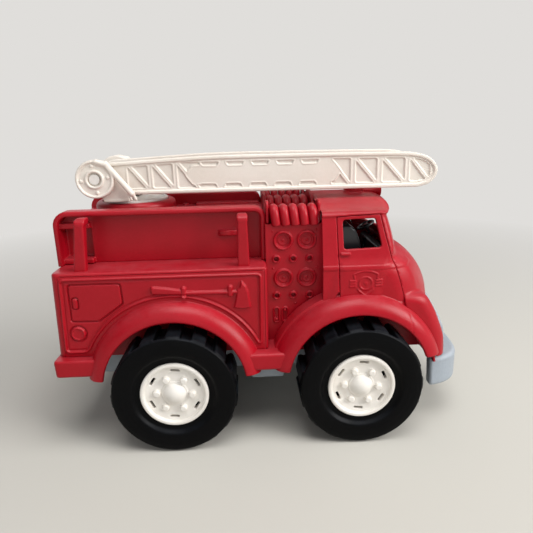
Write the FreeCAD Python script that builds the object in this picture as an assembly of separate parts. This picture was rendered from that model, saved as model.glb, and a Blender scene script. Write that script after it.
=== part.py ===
import FreeCAD, Part
import math
import os

# Toy fire engine with a swivelling, lifting ladder. Millimetres, +X forward, +Z up.
# The origin is on the ground under the middle of the bounding box.
V = FreeCAD.Vector

# ---------------------------------------------------------------- driving sizes
LENGTH = 267.0
HALF_LENGTH = LENGTH / 2
WIDTH = 160.0
TYRE_RADIUS = 38.8
TYRE_WIDTH = 29.0
REAR_AXLE_X = -59.5
FRONT_AXLE_X = 56.0
AXLE_RADIUS = 4.0
RUNNING_CLEARANCE = 0.05
WALL = 3.0

ARCH_RADIUS = 44.5
FENDER_OUTER_RADIUS = 55.0
FENDER_LIP_Y = 72.0

BODY_REAR_X = -128.5
BODY_FRONT_X = -0.6
BODY_HALF_WIDTH = 62.0
SHELF_Z = 113.5
STEP_TOP_Z = 59.5
STEP_BOTTOM_Z = 48.5
STEP_HALF_WIDTH = 69.0

RAIL_Y = 45.0
RAIL_TOP_Z = 147.8
RAIL_REAR_X = -131.0
DECK_Z = 139.0
WALL_FACE_Y = 37.0
WALL_INNER_Y = 34.5

PANEL_Y = 48.0
PANEL_TOP_Z = 137.0
CAB_REAR_X = 34.4

TURNTABLE_X = -88.2
COLLAR_RADIUS = 27.0
TURNTABLE_RADIUS = 21.8
SWIVEL_SHAFT_RADIUS = 12.0

PIVOT_X = -106.5
PIVOT_Z = 165.5
PIVOT_DISC_RADIUS = 12.1
PIN_RADIUS = 3.2
LADDER_HALF_WIDTH = 24.0
LADDER_UNDERSIDE_Z = 154.5

os.makedirs("parts", exist_ok=True)


# ---------------------------------------------------------------- shape helpers
def box(x0, x1, y0, y1, z0, z1):
    return Part.makeBox(x1 - x0, y1 - y0, z1 - z0, V(x0, y0, z0))


def rod_y(radius, x, z, y0, y1):
    return Part.makeCylinder(radius, y1 - y0, V(x, y0, z), V(0, 1, 0))


def rod_z(radius, x, y, z0, z1):
    return Part.makeCylinder(radius, z1 - z0, V(x, y, z0), V(0, 0, 1))


def mirrored(shape):
    return shape.mirror(V(0, 0, 0), V(0, 1, 0))


def in_xz(points):
    return [V(x, 0, z) for x, z in points]


def rounded_wire(points, radius):
    """Closed outline through the points, with each corner rounded; radius is one number or one for each point."""
    radii = radius if isinstance(radius, (list, tuple)) else [radius] * len(points)
    corners = []
    for i, corner in enumerate(points):
        before = (points[i - 1] - corner).normalize()
        after = (points[(i + 1) % len(points)] - corner).normalize()
        turn = before.getAngle(after)
        reach = radii[i] / math.tan(turn / 2)
        middle_way = (before + after).normalize()
        middle = corner + middle_way * (radii[i] / math.sin(turn / 2) - radii[i])
        corners.append((corner + before * reach, middle, corner + after * reach))
    edges = []
    for i, (start, middle, end) in enumerate(corners):
        following = corners[(i + 1) % len(corners)][0]
        if radii[i] > 0:
            edges.append(Part.Arc(start, middle, end).toShape())
        if (following - end).Length > 1e-4:
            edges.append(Part.LineSegment(end, following).toShape())
    return Part.Wire(Part.__sortEdges__(edges))


def slab_y(points, y0, y1, radius=0.0):
    """Outline of (x, z) points, extruded from y0 to y1."""
    corners = in_xz(points)
    wire = rounded_wire(corners, radius) if radius else Part.makePolygon(corners + corners[:1])
    face = Part.Face(wire)
    face.translate(V(0, y0, 0))
    return face.extrude(V(0, y1 - y0, 0))


def slab_x(points, x0, x1, radius=0.0):
    """Outline of (y, z) points, extruded from x0 to x1."""
    corners = [V(x0, y, z) for y, z in points]
    wire = rounded_wire(corners, radius) if radius else Part.makePolygon(corners + corners[:1])
    return Part.Face(wire).extrude(V(x1 - x0, 0, 0))


def slab_z(edges, z0, z1):
    """Face bounded by edges in the plane z = 0, extruded from z0 to z1."""
    face = Part.Face(Part.Wire(Part.__sortEdges__(edges)))
    face.translate(V(0, 0, z0))
    return face.extrude(V(0, 0, z1 - z0))


def arc(a, b, c):
    return Part.Arc(a, b, c).toShape()


def line(a, b):
    return Part.LineSegment(a, b).toShape()


def one_solid(shape):
    return shape.removeSplitter().Solids[0]


def save(name, shape):
    shape.exportStep("parts/" + name + ".step")


def save_pair(name, shape):
    """The part is modelled on the right side, where y is negative, and mirrored for the left."""
    save(name + "_right", shape)
    save(name + "_left", mirrored(shape))


# ---------------------------------------------------------------- wheels and axles
def tyre():
    """Right-hand tyre about the Y axis through the origin: a carcass with two staggered rows of lugs."""
    outer_y = -WIDTH / 2
    inner_y = outer_y + TYRE_WIDTH
    tread_radius = TYRE_RADIUS - 2.0
    bore_radius = 21.0
    shoulder = 4.0
    section = [
        (bore_radius, inner_y),
        (tread_radius - shoulder, inner_y),
        (tread_radius, inner_y - shoulder),
        (tread_radius, outer_y + shoulder),
        (tread_radius - shoulder, outer_y),
        (27.0, outer_y),
        (bore_radius, outer_y + 4.0),
    ]
    corners = [V(radius, y, 0) for radius, y in section]
    carcass = Part.Face(Part.makePolygon(corners + corners[:1])).revolve(V(0, 0, 0), V(0, 1, 0), 360)
    lug_count = 15
    pitch = 360.0 / lug_count
    half_lug = TYRE_RADIUS * math.tan(math.radians(pitch / 4))
    middle_y = (outer_y + inner_y) / 2
    rows = [(outer_y + 1.0, middle_y + 1.0, 0.0), (middle_y - 1.0, inner_y - 1.0, pitch / 2)]
    blocks = []
    for y0, y1, start in rows:
        for k in range(lug_count):
            block = box(-half_lug, half_lug, y0, y1, -TYRE_RADIUS - 1.0, 1.0 - tread_radius)
            block.rotate(V(0, 0, 0), V(0, 1, 0), start + k * pitch)
            blocks.append(block)
    tread = rod_y(TYRE_RADIUS, 0, 0, outer_y, inner_y)
    lugs = [tread.common(block) for block in blocks]
    return one_solid(carcass.fuse(lugs))


def hub():
    """Right-hand wheel hub about the Y axis: drum, raised rim, six lugs, six slots and a centre dome."""
    rim_y = -78.2
    face_y = -75.0
    drum_inner_y = -53.0
    rim_radius = 21.0
    drum = rod_y(rim_radius, 0, 0, -76.0, drum_inner_y)
    rim = rod_y(rim_radius - 0.6, 0, 0, rim_y, -76.0).cut(rod_y(18.0, 0, 0, rim_y - 1, face_y))
    hollow = rod_y(17.5, 0, 0, -72.0, drum_inner_y + 1).cut(rod_y(8.0, 0, 0, -73.0, drum_inner_y + 2))
    dome = Part.makeSphere(9.3, V(0, -70.4, 0)).common(rod_y(7.0, 0, 0, -81.5, -74.5))
    shape = drum.cut(hollow).fuse([rim, dome])
    shape = shape.cut(rod_y(18.0, 0, 0, -76.1, face_y).cut(rod_y(7.0, 0, 0, -77.0, face_y + 1)))
    for k in range(6):
        stud = rod_y(2.1, 0, 10.7, -77.6, face_y + 0.5)
        stud.rotate(V(0, 0, 0), V(0, 1, 0), 60.0 * k + 30.0)
        slot = box(-2.6, 2.6, -79.0, -70.0, 15.0, 16.4)
        slot.rotate(V(0, 0, 0), V(0, 1, 0), 60.0 * k)
        shape = shape.fuse(stud).cut(slot)
    return one_solid(shape.cut(rod_y(AXLE_RADIUS, 0, 0, -72.0, drum_inner_y + 5)))


def wheel_set(name, axle_x):
    shapes = {"tyre": tyre(), "hub": hub()}
    for part_name, shape in shapes.items():
        shape.translate(V(axle_x, 0, TYRE_RADIUS))
        save_pair(name + "_" + part_name, shape)
    save(name + "_axle", rod_y(AXLE_RADIUS, axle_x, TYRE_RADIUS, -72.0, 72.0))


# ---------------------------------------------------------------- chassis, bumper and grille
CHASSIS_HALF_WIDTH = 49.5
SPINE_HALF_WIDTH = 32.0
WING_REAR_X = -12.0
WING_FRONT_X = 10.0
CHASSIS_BOTTOM_Z = 32.5
CHASSIS_REAR_X = -116.0
CHASSIS_FRONT_X = 118.0
TONGUE_FRONT_X = 130.6
TONGUE_HALF = 30.0
TONGUE_BOTTOM_Z = CHASSIS_BOTTOM_Z + 1.0
TONGUE_TOP_Z = CHASSIS_BOTTOM_Z + 5.0
STAND_CLEARANCE_Z = 20.0


def cross_plan(inset, z0, z1):
    """The chassis's plan, drawn in by inset: a long spine with a wing each side between the wheels."""
    spine_half = SPINE_HALF_WIDTH - inset
    wing_half = CHASSIS_HALF_WIDTH - inset
    spine = box(CHASSIS_REAR_X + inset, CHASSIS_FRONT_X - inset, -spine_half, spine_half, z0, z1)
    return spine.fuse(box(WING_REAR_X + inset, WING_FRONT_X - inset, -wing_half, wing_half, z0, z1))


def chassis():
    """Grey tray with bearing holes for both axles and posts that carry the body."""
    front_x = CHASSIS_FRONT_X
    top_z = STEP_BOTTOM_Z
    floor_top_z = CHASSIS_BOTTOM_Z + 2.0
    tray = cross_plan(0.0, CHASSIS_BOTTOM_Z, top_z).cut(cross_plan(WALL, floor_top_z, top_z + 1))
    tongue = box(front_x - WALL, TONGUE_FRONT_X, -TONGUE_HALF, TONGUE_HALF, TONGUE_BOTTOM_Z, TONGUE_TOP_Z)
    shape = tray.fuse(tongue)
    for x in (-108.0, -18.0):
        for y in (-24.0, 24.0):
            shape = shape.fuse(rod_z(4.0, x, y, floor_top_z - 0.5, SHELF_Z - WALL))
    for axle_x in (REAR_AXLE_X, FRONT_AXLE_X):
        bearing = rod_y(
            AXLE_RADIUS + RUNNING_CLEARANCE, axle_x, TYRE_RADIUS, -CHASSIS_HALF_WIDTH - 1, CHASSIS_HALF_WIDTH + 1
        )
        shape = shape.cut(bearing)
    return one_solid(shape)


def bumper_plan(inset, z0, z1):
    """The bumper's wrap-around plan shape, drawn in by inset and filled back to the chassis end."""
    front = HALF_LENGTH - inset
    shoulder = V(130.6 - inset, 40.0 - inset * 0.4, 0)
    turn = V(122.6 - inset * 0.7, 54.0 - inset * 0.7, 0)
    end = V(105.5, 60.0 - inset, 0)
    flip = lambda p: V(p.x, -p.y, 0)
    edges = [
        arc(shoulder, V(front, 0, 0), flip(shoulder)),
        arc(flip(shoulder), flip(turn), flip(end)),
        line(flip(end), end),
        arc(end, turn, shoulder),
    ]
    return slab_z(edges, z0, z1)


def bumper():
    """Wrap-around bumper: a C-section open towards the truck."""
    bottom_z = 25.5
    top_z = 46.5
    skin = 2.4
    flange = 8.0
    shape = bumper_plan(0.0, bottom_z, top_z).cut(bumper_plan(flange, bottom_z - 1, top_z + 1))
    shape = shape.cut(bumper_plan(skin, bottom_z + skin, top_z - skin))
    return one_solid(shape.cut(chassis_envelope()))


def chassis_envelope():
    """The chassis's front end: the tray, with room below it for a flat stand, and the bumper's tongue."""
    half = SPINE_HALF_WIDTH
    tray = box(90.0, CHASSIS_FRONT_X, -half, half, STAND_CLEARANCE_Z, STEP_BOTTOM_Z)
    return tray.fuse(box(100.0, TONGUE_FRONT_X, -TONGUE_HALF, TONGUE_HALF, TONGUE_BOTTOM_Z, TONGUE_TOP_Z))


GRILLE_SIDE = [(108.5, 87.0), (116.0, 75.0), (120.0, 63.7), (121.0, 52.0)]


def grille_block():
    depth = 3.0
    half_width = 33.0
    back = [(x - depth, z) for x, z in reversed(GRILLE_SIDE)]
    return slab_y(GRILLE_SIDE + back, -half_width, half_width)


def grille():
    """Grey grille leaning back with the nose, with a row of level slots."""
    shape = grille_block()
    slot_pitch = 5.2
    for k in range(5):
        z = 57.0 + k * slot_pitch
        shape = shape.cut(box(100.0, 130.0, -27.0, 27.0, z, z + 2.6))
    return one_solid(shape)


# ---------------------------------------------------------------- rear body
def axle_cylinder(radius, axle_x, y0, y1):
    return rod_y(radius, axle_x, TYRE_RADIUS, y0, y1)


def axe_relief():
    """Raised fire axe on the side panel: butt, handle, two clips and the blade with its pick."""
    face_y = -BODY_HALF_WIDTH
    raised_y = face_y - 1.6
    handle = box(-53.0, -18.0, raised_y, face_y, 97.6, 99.8)
    butt = slab_y([(-71.0, 98.2), (-53.0, 98.4), (-53.0, 102.0), (-71.0, 104.4)], raised_y, face_y, 0.9)
    clips = [box(x, x + 3.4, raised_y - 0.6, face_y, 95.6, 103.4) for x in (-53.2, -25.0)]
    blade = slab_y([(-21.4, 88.6), (-11.2, 88.2), (-12.2, 98.0), (-16.4, 105.8), (-17.4, 100.8)], raised_y, face_y)
    return [handle, butt, blade] + clips


def panel_bead():
    """Thin raised frame round the side panel, which follows the wheel arch below."""
    face_y = -BODY_HALF_WIDTH
    bead = 1.1
    arch = 57.6

    def region(inset):
        area = slab_y(
            [
                (-125.2 + inset, 62.2 + inset),
                (-125.2 + inset, 110.0 - inset),
                (-4.2 - inset, 110.0 - inset),
                (-4.2 - inset, 62.2 + inset),
            ],
            face_y - 0.8,
            face_y,
            3.0 - inset,
        )
        return area.cut(axle_cylinder(arch + inset, REAR_AXLE_X, face_y - 1, face_y + 1))

    return region(0.0).cut(region(bead))


def locker_relief():
    face_y = -BODY_HALF_WIDTH
    outline = [(-120.8, 82.8), (-120.4, 106.4), (-89.4, 106.2), (-88.8, 93.4), (-104.2, 82.6)]
    door = slab_y(outline, face_y - 0.5, face_y, 1.2)
    latch = box(-118.6, -115.6, face_y - 1.0, face_y, 91.4, 97.8)
    filler_cap = rod_y(4.5, -117.6, 75.0, face_y - 1.2, face_y)
    return [door, latch, filler_cap]


def rear_body():
    """Lower box: an open-bottomed shell whose top is the ladder shelf, with both arches cut out."""
    half = BODY_HALF_WIDTH
    shell = box(BODY_REAR_X, BODY_FRONT_X, -half, half, STEP_TOP_Z, SHELF_Z)
    hollow = box(
        BODY_REAR_X + WALL, BODY_FRONT_X - WALL, -half + WALL, half - WALL, STEP_TOP_Z - 1, SHELF_Z - WALL
    )
    shell = shell.cut(hollow)
    reliefs = axe_relief() + locker_relief() + [panel_bead()]
    shell = shell.fuse(reliefs + [mirrored(relief) for relief in reliefs])
    return one_solid(shell.cut(axle_cylinder(FENDER_OUTER_RADIUS, REAR_AXLE_X, -WIDTH, WIDTH)))


def rear_step():
    """Step board across the tail, shaped round the wheel arches."""
    side = STEP_HALF_WIDTH
    plan = [V(-HALF_LENGTH, -side, 0), V(-HALF_LENGTH, side, 0), V(-100.0, side, 0), V(-100.0, -side, 0)]
    face = Part.Face(rounded_wire(plan, [4.0, 4.0, 0.0, 0.0]))
    face.translate(V(0, 0, STEP_BOTTOM_Z))
    board = face.extrude(V(0, 0, STEP_TOP_Z - STEP_BOTTOM_Z))
    board = board.cut(box(CHASSIS_REAR_X, 0.0, -SPINE_HALF_WIDTH, SPINE_HALF_WIDTH, 0.0, STEP_TOP_Z + 1))
    hollow = box(BODY_REAR_X + WALL, -110.0, -58.0, 58.0, STEP_BOTTOM_Z - 1, STEP_TOP_Z - WALL)
    board = board.cut(hollow)
    return one_solid(board.cut(axle_cylinder(FENDER_OUTER_RADIUS, REAR_AXLE_X, -WIDTH, WIDTH)))


def fender(axle_x, low_rear_z, low_front_z, collar_y):
    """Quarter-round arch moulding on the right side, from the body side out to its lip."""
    depth_y = FENDER_LIP_Y - BODY_HALF_WIDTH
    reach = FENDER_OUTER_RADIUS - ARCH_RADIUS
    side_y = -BODY_HALF_WIDTH

    def rim_point(angle, inset):
        across = (reach - inset) * math.cos(angle)
        out = (depth_y - inset) * math.sin(angle)
        return V(axle_x + ARCH_RADIUS + across, side_y - out, TYRE_RADIUS)

    quarter = math.pi / 2
    outer = [rim_point(quarter * k / 2, 0.0) for k in range(3)]
    inner = [rim_point(quarter * k / 2, WALL) for k in range(3)]
    collar_out = V(axle_x + FENDER_OUTER_RADIUS, -collar_y, TYRE_RADIUS)
    collar_in = V(axle_x + FENDER_OUTER_RADIUS - WALL, -collar_y, TYRE_RADIUS)
    edges = [
        arc(*outer),
        line(outer[2], inner[2]),
        arc(*inner),
        line(inner[0], collar_in),
        line(collar_in, collar_out),
        line(collar_out, outer[0]),
    ]
    section = Part.Face(Part.Wire(Part.__sortEdges__(edges)))
    ring = section.revolve(V(axle_x, 0, TYRE_RADIUS), V(0, -1, 0), 180)
    if ring.BoundBox.ZMin < TYRE_RADIUS - 1:
        ring = section.revolve(V(axle_x, 0, TYRE_RADIUS), V(0, 1, 0), 180)
    rear_end = box(axle_x - 70, axle_x, -WIDTH, 0, 0, low_rear_z)
    front_end = box(axle_x, axle_x + 70, -WIDTH, 0, 0, low_front_z)
    return ring.cut(rear_end).cut(front_end)


FENDER_FOOT_Z = 46.7


def rear_fender():
    return one_solid(fender(REAR_AXLE_X, FENDER_FOOT_Z, FENDER_FOOT_Z, BODY_HALF_WIDTH - WALL))


def front_fender():
    """Front arch moulding, which swells forward into the lamp pod."""
    arch = fender(FRONT_AXLE_X, FENDER_FOOT_Z, 56.0, PANEL_Y + 1.0)
    arch = arch.cut(box(-10.0, 120.0, -CHASSIS_HALF_WIDTH, 0.0, 0.0, STEP_BOTTOM_Z))
    pod_side = [
        (CAB_FRONT_X, 60.0),
        (CAB_FRONT_X, 90.5),
        (98.5, 89.5),
        (107.0, 81.0),
        (113.0, 68.8),
        (115.2, 58.3),
        (115.4, 49.0),
        (98.0, 49.0),
    ]
    pod = slab_y(pod_side, -68.0, -36.5, [0.0, 5.0, 8.0, 6.0, 6.0, 4.0, 3.0, 0.0])
    outside_plan = box(80.0, 118.0, -80.0, -62.0, 40.0, 100.0).cut(rod_z(26.0, 89.5, -42.5, 40.0, 100.0))
    pod = pod.cut(outside_plan)
    pod = pod.cut(axle_cylinder(FENDER_OUTER_RADIUS, FRONT_AXLE_X, -WIDTH, 0))
    return one_solid(arch.fuse(pod.cut(headlight())))


def running_board():
    board = box(-14.0, 14.0, -STEP_HALF_WIDTH - 1, -PANEL_Y + WALL, STEP_BOTTOM_Z, STEP_TOP_Z)
    for axle_x in (REAR_AXLE_X, FRONT_AXLE_X):
        board = board.cut(axle_cylinder(FENDER_OUTER_RADIUS, axle_x, -WIDTH, 0))
    return one_solid(board.cut(box(-14.0, 14.0, -CHASSIS_HALF_WIDTH, 0, STEP_BOTTOM_Z - 1, STEP_BOTTOM_Z)))


def tail_lights():
    lamps = []
    for z in (92.0, 80.0):
        for y in (-52.0, 52.0):
            lamp = Part.makeSphere(6.0, V(BODY_REAR_X + 4.2, y, z))
            lamps.append(lamp.common(box(BODY_REAR_X - 6, BODY_REAR_X, -62, 62, 60, 110)))
    return Part.makeCompound(lamps)


# ---------------------------------------------------------------- upper box
SIDE_BAY_FRONT_X = -110.0


def side_wall():
    """Upper side wall: a rolled rail round a recessed panel, with a ribbed bay at the tail."""
    frame_radii = [0.0, 9.0, 7.0, 0.0]

    def outline(inset):
        return [
            (RAIL_REAR_X + inset, SHELF_Z),
            (RAIL_REAR_X + inset, RAIL_TOP_Z - inset),
            (-inset, RAIL_TOP_Z - inset),
            (-inset, SHELF_Z),
        ]

    rail = 3.2
    shell = slab_y(outline(0.0), -RAIL_Y, -WALL_INNER_Y, frame_radii)
    pocket = slab_y(outline(rail), -RAIL_Y - 1, -WALL_FACE_Y, [max(r - rail, 0.0) for r in frame_radii])
    bay_depth_y = -WALL_INNER_Y + 5.0
    bay_back = box(RAIL_REAR_X + rail, SIDE_BAY_FRONT_X + 2.0, -WALL_INNER_Y, bay_depth_y, SHELF_Z, DECK_Z - 2.5)
    bay = slab_y(
        [(-127.4, 114.0), (-127.4, 136.0), (SIDE_BAY_FRONT_X, 136.0), (SIDE_BAY_FRONT_X, 114.0)],
        -RAIL_Y - 1,
        bay_depth_y - 2.0,
    )
    shape = shell.fuse(bay_back).cut(pocket).cut(bay)
    for z, back_y in ((114.0, bay_depth_y - 2.0), (136.4, -WALL_INNER_Y)):
        shape = shape.fuse(box(RAIL_REAR_X + rail - 0.5, SIDE_BAY_FRONT_X, -41.5, back_y, z, z + 3.0))
    ledge = box(-30.0, -17.0, -39.5, -WALL_FACE_Y, 129.6, 132.4)
    return one_solid(shape.fuse(ledge))


def ladder_bracket(x0):
    """Hooked post at the shelf's edge; a side ladder drops in behind it."""
    x1 = x0 + 6.2
    post = box(x0, x1, -62.0, -57.5, SHELF_Z, 146.2)
    hook = box(x0, x1, -62.0, -48.5, 142.6, 146.2)
    return one_solid(post.fuse(hook))


def deck():
    """Roof of the rear body between the side walls, with end walls and the turntable collar."""
    half = WALL_INNER_Y
    rear_x = -127.8
    plate = box(rear_x, 0.0, -half, half, DECK_Z - 2.5, DECK_Z)
    rear_end = box(rear_x, rear_x + 2.5, -half + 5.0, half - 5.0, SHELF_Z, DECK_Z)
    front_end = box(-2.5, 0.0, -half, half, SHELF_Z, DECK_Z)
    collar = rod_z(COLLAR_RADIUS, TURNTABLE_X, 0, DECK_Z - 2.5, 145.0)
    taper = Part.makeCone(COLLAR_RADIUS, 24.4, 4.0, V(TURNTABLE_X, 0, 145.0))
    seat_recess = rod_z(22.6, TURNTABLE_X, 0, 147.0, 150.0)
    bore = rod_z(SWIVEL_SHAFT_RADIUS + RUNNING_CLEARANCE, TURNTABLE_X, 0, 130.0, 150.0)
    shape = plate.fuse([rear_end, front_end, collar, taper])
    for side in (-1, 1):
        y0, y1 = sorted((side * 25.0, side * half))
        shape = shape.fuse(box(-49.6, -1.7, y0, y1, DECK_Z, DECK_Z + 2.0))
        shape = shape.fuse(rod_z(2.4, -57.8, side * 31.0, DECK_Z, DECK_Z + 1.4))
    return one_solid(shape.cut(seat_recess).cut(bore))


# ---------------------------------------------------------------- pump panel and hose bed
def stadium(x, z, half_width, half_height, y0, y1):
    middle = box(x - half_width, x + half_width, y0, y1, z - half_height + half_width, z + half_height - half_width)
    ends = [rod_y(half_width, x, z + side * (half_height - half_width), y0, y1) for side in (-1, 1)]
    return middle.fuse(ends)


def pump_panel():
    """Pump control panel: four gauges, six hose ports and two lever slots."""
    face_y = -PANEL_Y
    shape = box(0.0, CAB_REAR_X, face_y, face_y + WALL, STEP_TOP_Z, PANEL_TOP_Z)
    for x in (10.5, 25.3):
        for z in (102.0, 126.6):
            ring = rod_y(6.1, x, z, face_y - 1.2, face_y + 1.0)
            recess = rod_y(5.0, x, z, face_y - 2.0, face_y + 0.8)
            boss = rod_y(0.9, x, z, face_y - 0.4, face_y + 1.2)
            shape = shape.fuse(ring).cut(recess).fuse(boss)
    for x in (6.0, 16.6, 27.1):
        for z in (90.6, 114.8):
            port = rod_y(2.4, x, z, face_y - 1.8, face_y + 1.0)
            shape = shape.fuse(port).cut(rod_y(1.3, x, z, face_y - 3.0, face_y + 1.5))
    for x, knob_z in ((5.6, 73.6), (11.2, 80.6)):
        frame = stadium(x, 77.2, 2.2, 5.6, face_y - 1.0, face_y + 0.5)
        slot = stadium(x, 77.2, 1.3, 4.7, face_y - 2.0, face_y + 1.0)
        knob = rod_y(1.0, x, knob_z, face_y - 1.2, face_y + 1.5)
        shape = shape.fuse(frame).cut(slot).fuse(knob)
    return one_solid(shape)


def hose_bed():
    """Floor and end fins that hold the folded hoses above the pump."""
    floor = box(0.0, CAB_REAR_X, -PANEL_Y + WALL, PANEL_Y - WALL, 130.0, 133.0)
    fin_side = [(-46.8, 130.0), (-46.8, 151.6), (46.8, 151.6), (46.8, 130.0)]
    fins = []
    for x0 in (0.2, 32.4):
        fin = slab_x(fin_side, x0, x0 + 1.8, [0.0, 6.0, 6.0, 0.0])
        fins.append(fin.cut(box(-2, 40, -50, -45, 120, PANEL_TOP_Z)).cut(box(-2, 40, 45, 50, 120, PANEL_TOP_Z)))
    return one_solid(floor.fuse(fins))


def folded_hoses():
    """Five hoses laid across the bed, turned down over both edges."""
    hose_radius = 2.85
    top_z = 149.8 - hose_radius
    edge_y = 45.0
    bend = 4.5
    foot_z = PANEL_TOP_Z
    hoses = []
    for k in range(5):
        x = 5.1 + 5.95 * k
        legs = []
        for side in (-1, 1):
            leg = rod_z(hose_radius, x, side * edge_y, foot_z, top_z - bend)
            section = Part.Face(Part.Wire(Part.makeCircle(hose_radius, V(x, side * edge_y, top_z - bend), V(0, 0, 1))))
            turn = section.revolve(V(x, side * (edge_y - bend), top_z - bend), V(side, 0, 0), 90)
            legs += [leg, turn]
        run = rod_y(hose_radius, x, top_z, bend - edge_y, edge_y - bend)
        hoses.append(one_solid(run.fuse(legs)))
    return Part.makeCompound(hoses)


# ---------------------------------------------------------------- cab
CAB_BACKBONE = [
    (0.0, 149.0),
    (53.2, 141.8),
    (54.0, 139.5),
    (58.6, 117.5),
    (60.4, 110.8),
    (61.0, 88.0),
    (61.0, 60.0),
]


def cab_section(inset, x0, x1):
    """Cab cross-section from the crowned roof down the leaning sides, extruded along the truck."""
    side = [V(x0, y - inset, z - (inset if z > 140 else 0.0)) for y, z in CAB_BACKBONE[1:]]
    other = [V(x0, -p.y, p.z) for p in side]
    crown = V(x0, 0, CAB_BACKBONE[0][1] - inset)
    edges = [arc(side[0], crown, other[0])]
    for chain in (side, other):
        for a, b in zip(chain, chain[1:]):
            edges.append(line(a, b))
    edges.append(line(side[-1], other[-1]))
    return Part.Face(Part.Wire(Part.__sortEdges__(edges))).extrude(V(x1 - x0, 0, 0))


def windscreen_cone(inset):
    """Everything behind the windscreen, which curves in plan and leans back."""
    plan_radius = 165.0
    centre_x = 91.0 - plan_radius
    low_z = COWL_TOP_Z
    return Part.makeCone(
        plan_radius - inset, plan_radius - 9.0 - inset, 36.0, V(centre_x, 0, low_z)
    )


COWL_TOP_Z = 119.0
CAB_FRONT_X = 86.0
NOSE_SIDE = [(92.5, COWL_TOP_Z), (104.0, 113.0), (113.0, 98.0), (118.4, 78.0), (118.6, 52.0)]


def nose_block(inset):
    """The rounded cowl: its side outline crossed with its curved plan."""
    side = [(x - inset, z - inset) for x, z in NOSE_SIDE]
    outline = [(70.0, 52.0 - inset), (70.0, COWL_TOP_Z - inset)] + side
    block = slab_y(outline, -61.0 + inset, 61.0 - inset, [0.0, 0.0, 8.0, 22.0, 30.0, 12.0, 0.0])
    front_x = 118.6 - inset
    corner = V(104.0 - inset, 50.0 - inset, 0)
    back = V(80.0, 61.0 - inset, 0)
    flip = lambda p: V(p.x, -p.y, 0)
    edges = [
        arc(corner, V(front_x, 0, 0), flip(corner)),
        arc(flip(corner), V(95.0 - inset, -57.2 + inset, 0), flip(back)),
        line(flip(back), V(40, -61 + inset, 0)),
        line(V(40, -61 + inset, 0), V(40, 61 - inset, 0)),
        line(V(40, 61 - inset, 0), back),
        arc(back, V(95.0 - inset, 57.2 - inset, 0), corner),
    ]
    return block.common(slab_z(edges, 40, 130))


SIDE_WINDOW = [(46.6, 121.6), (46.6, 140.0), (66.6, 140.0), (70.8, 122.2)]


def cab_shell():
    """Cab moulding: roof, leaning sides with open windows, rear wall and open windscreen."""
    outer = cab_section(0.0, CAB_REAR_X, 92.0)
    inner = cab_section(WALL - 0.5, CAB_REAR_X + 2.5, 93.0)
    front = windscreen_cone(0.0)
    below = box(CAB_REAR_X, 92.0, -80, 80, 50, COWL_TOP_Z)
    block = outer.common(front.fuse(below))
    space = inner.common(windscreen_cone(2.5).fuse(box(CAB_REAR_X, 93.0, -80, 80, 40, COWL_TOP_Z)))
    shape = block.cut(space)
    shape = shape.cut(box(CAB_FRONT_X, 120.0, -80, 80, 40, COWL_TOP_Z))
    shape = shape.cut(slab_y(SIDE_WINDOW, -80, 80, 1.6))
    for side in (-1, 1):
        pane = [(side * 3.0, 122.5), (side * 3.0, 137.5), (side * 40.0, 136.5), (side * 43.0, 122.5)]
        shape = shape.cut(slab_x(pane, 72.0, 100.0, 2.0))
    shape = shape.cut(axle_cylinder(FENDER_OUTER_RADIUS, FRONT_AXLE_X, -WIDTH, WIDTH))
    return one_solid(shape.cut(box(30, 100, -80, 80, 40, STEP_TOP_Z + 0.5)))


def cab_nose():
    """Cowl below the windscreen, open at the back and for the wheels."""
    shape = nose_block(0.0).cut(nose_block(2.5))
    shape = shape.cut(box(40.0, CAB_FRONT_X, -80, 80, 40, 130))
    shape = shape.cut(grille_block())
    shape = shape.cut(axle_cylinder(FENDER_OUTER_RADIUS, FRONT_AXLE_X, -WIDTH, WIDTH))
    for side in (-1, 1):
        y0, y1 = sorted((side * 36.5, side * 80.0))
        shape = shape.cut(box(80.0, 125.0, y0, y1, 40.0, 90.6))
    return one_solid(shape)


def headlight():
    """Round lamp set in the front of the pod."""
    y = -48.0
    z = 70.0
    lamp = Part.makeCylinder(7.6, 3.0, V(111.6, y, z), V(1, 0, 0))
    lens = Part.makeSphere(12.0, V(104.2, y, z)).common(Part.makeCylinder(5.8, 6.0, V(114.0, y, z), V(1, 0, 0)))
    return one_solid(lamp.fuse(lens))


def ladder_rest():
    """Round pedestal on the roof that carries the lowered ladder."""
    x = 65.0
    post = rod_z(6.6, x, 0, 147.2, 154.4)
    foot = Part.makeCone(9.0, 6.6, 2.4, V(x, 0, 147.0))
    return one_solid(post.fuse(foot).cut(cab_section(0.0, CAB_REAR_X, 92.0)))


def roof_horn():
    """Flared horn lying on the roof ahead of the pedestal."""
    z = 149.8
    bell = Part.makeCone(1.8, 4.2, 6.0, V(78.8, 0, z), V(1, 0, 0))
    throat = Part.makeCylinder(1.8, 7.2, V(71.6, 0, z), V(1, 0, 0))
    bore = Part.makeCone(0.8, 3.4, 5.0, V(80.0, 0, z), V(1, 0, 0))
    foot = box(74.5, 78.5, -1.4, 1.4, 146.0, 149.0)
    shape = bell.fuse([throat, foot]).cut(bore)
    return one_solid(shape.cut(cab_section(0.0, CAB_REAR_X, 92.0)).cut(ladder_rest()))


def seat():
    """Bench seat with a bowed backrest."""
    outline = [(37.4, 96.0), (37.4, 134.5), (52.0, 134.5), (58.5, 124.0), (62.0, 112.0), (63.0, 106.0),
               (75.0, 104.0), (75.0, 96.0)]
    return one_solid(slab_y(outline, -48.0, 48.0, [0.0, 1.5, 3.0, 12.0, 8.0, 1.0, 2.0, 0.0]))


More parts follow.
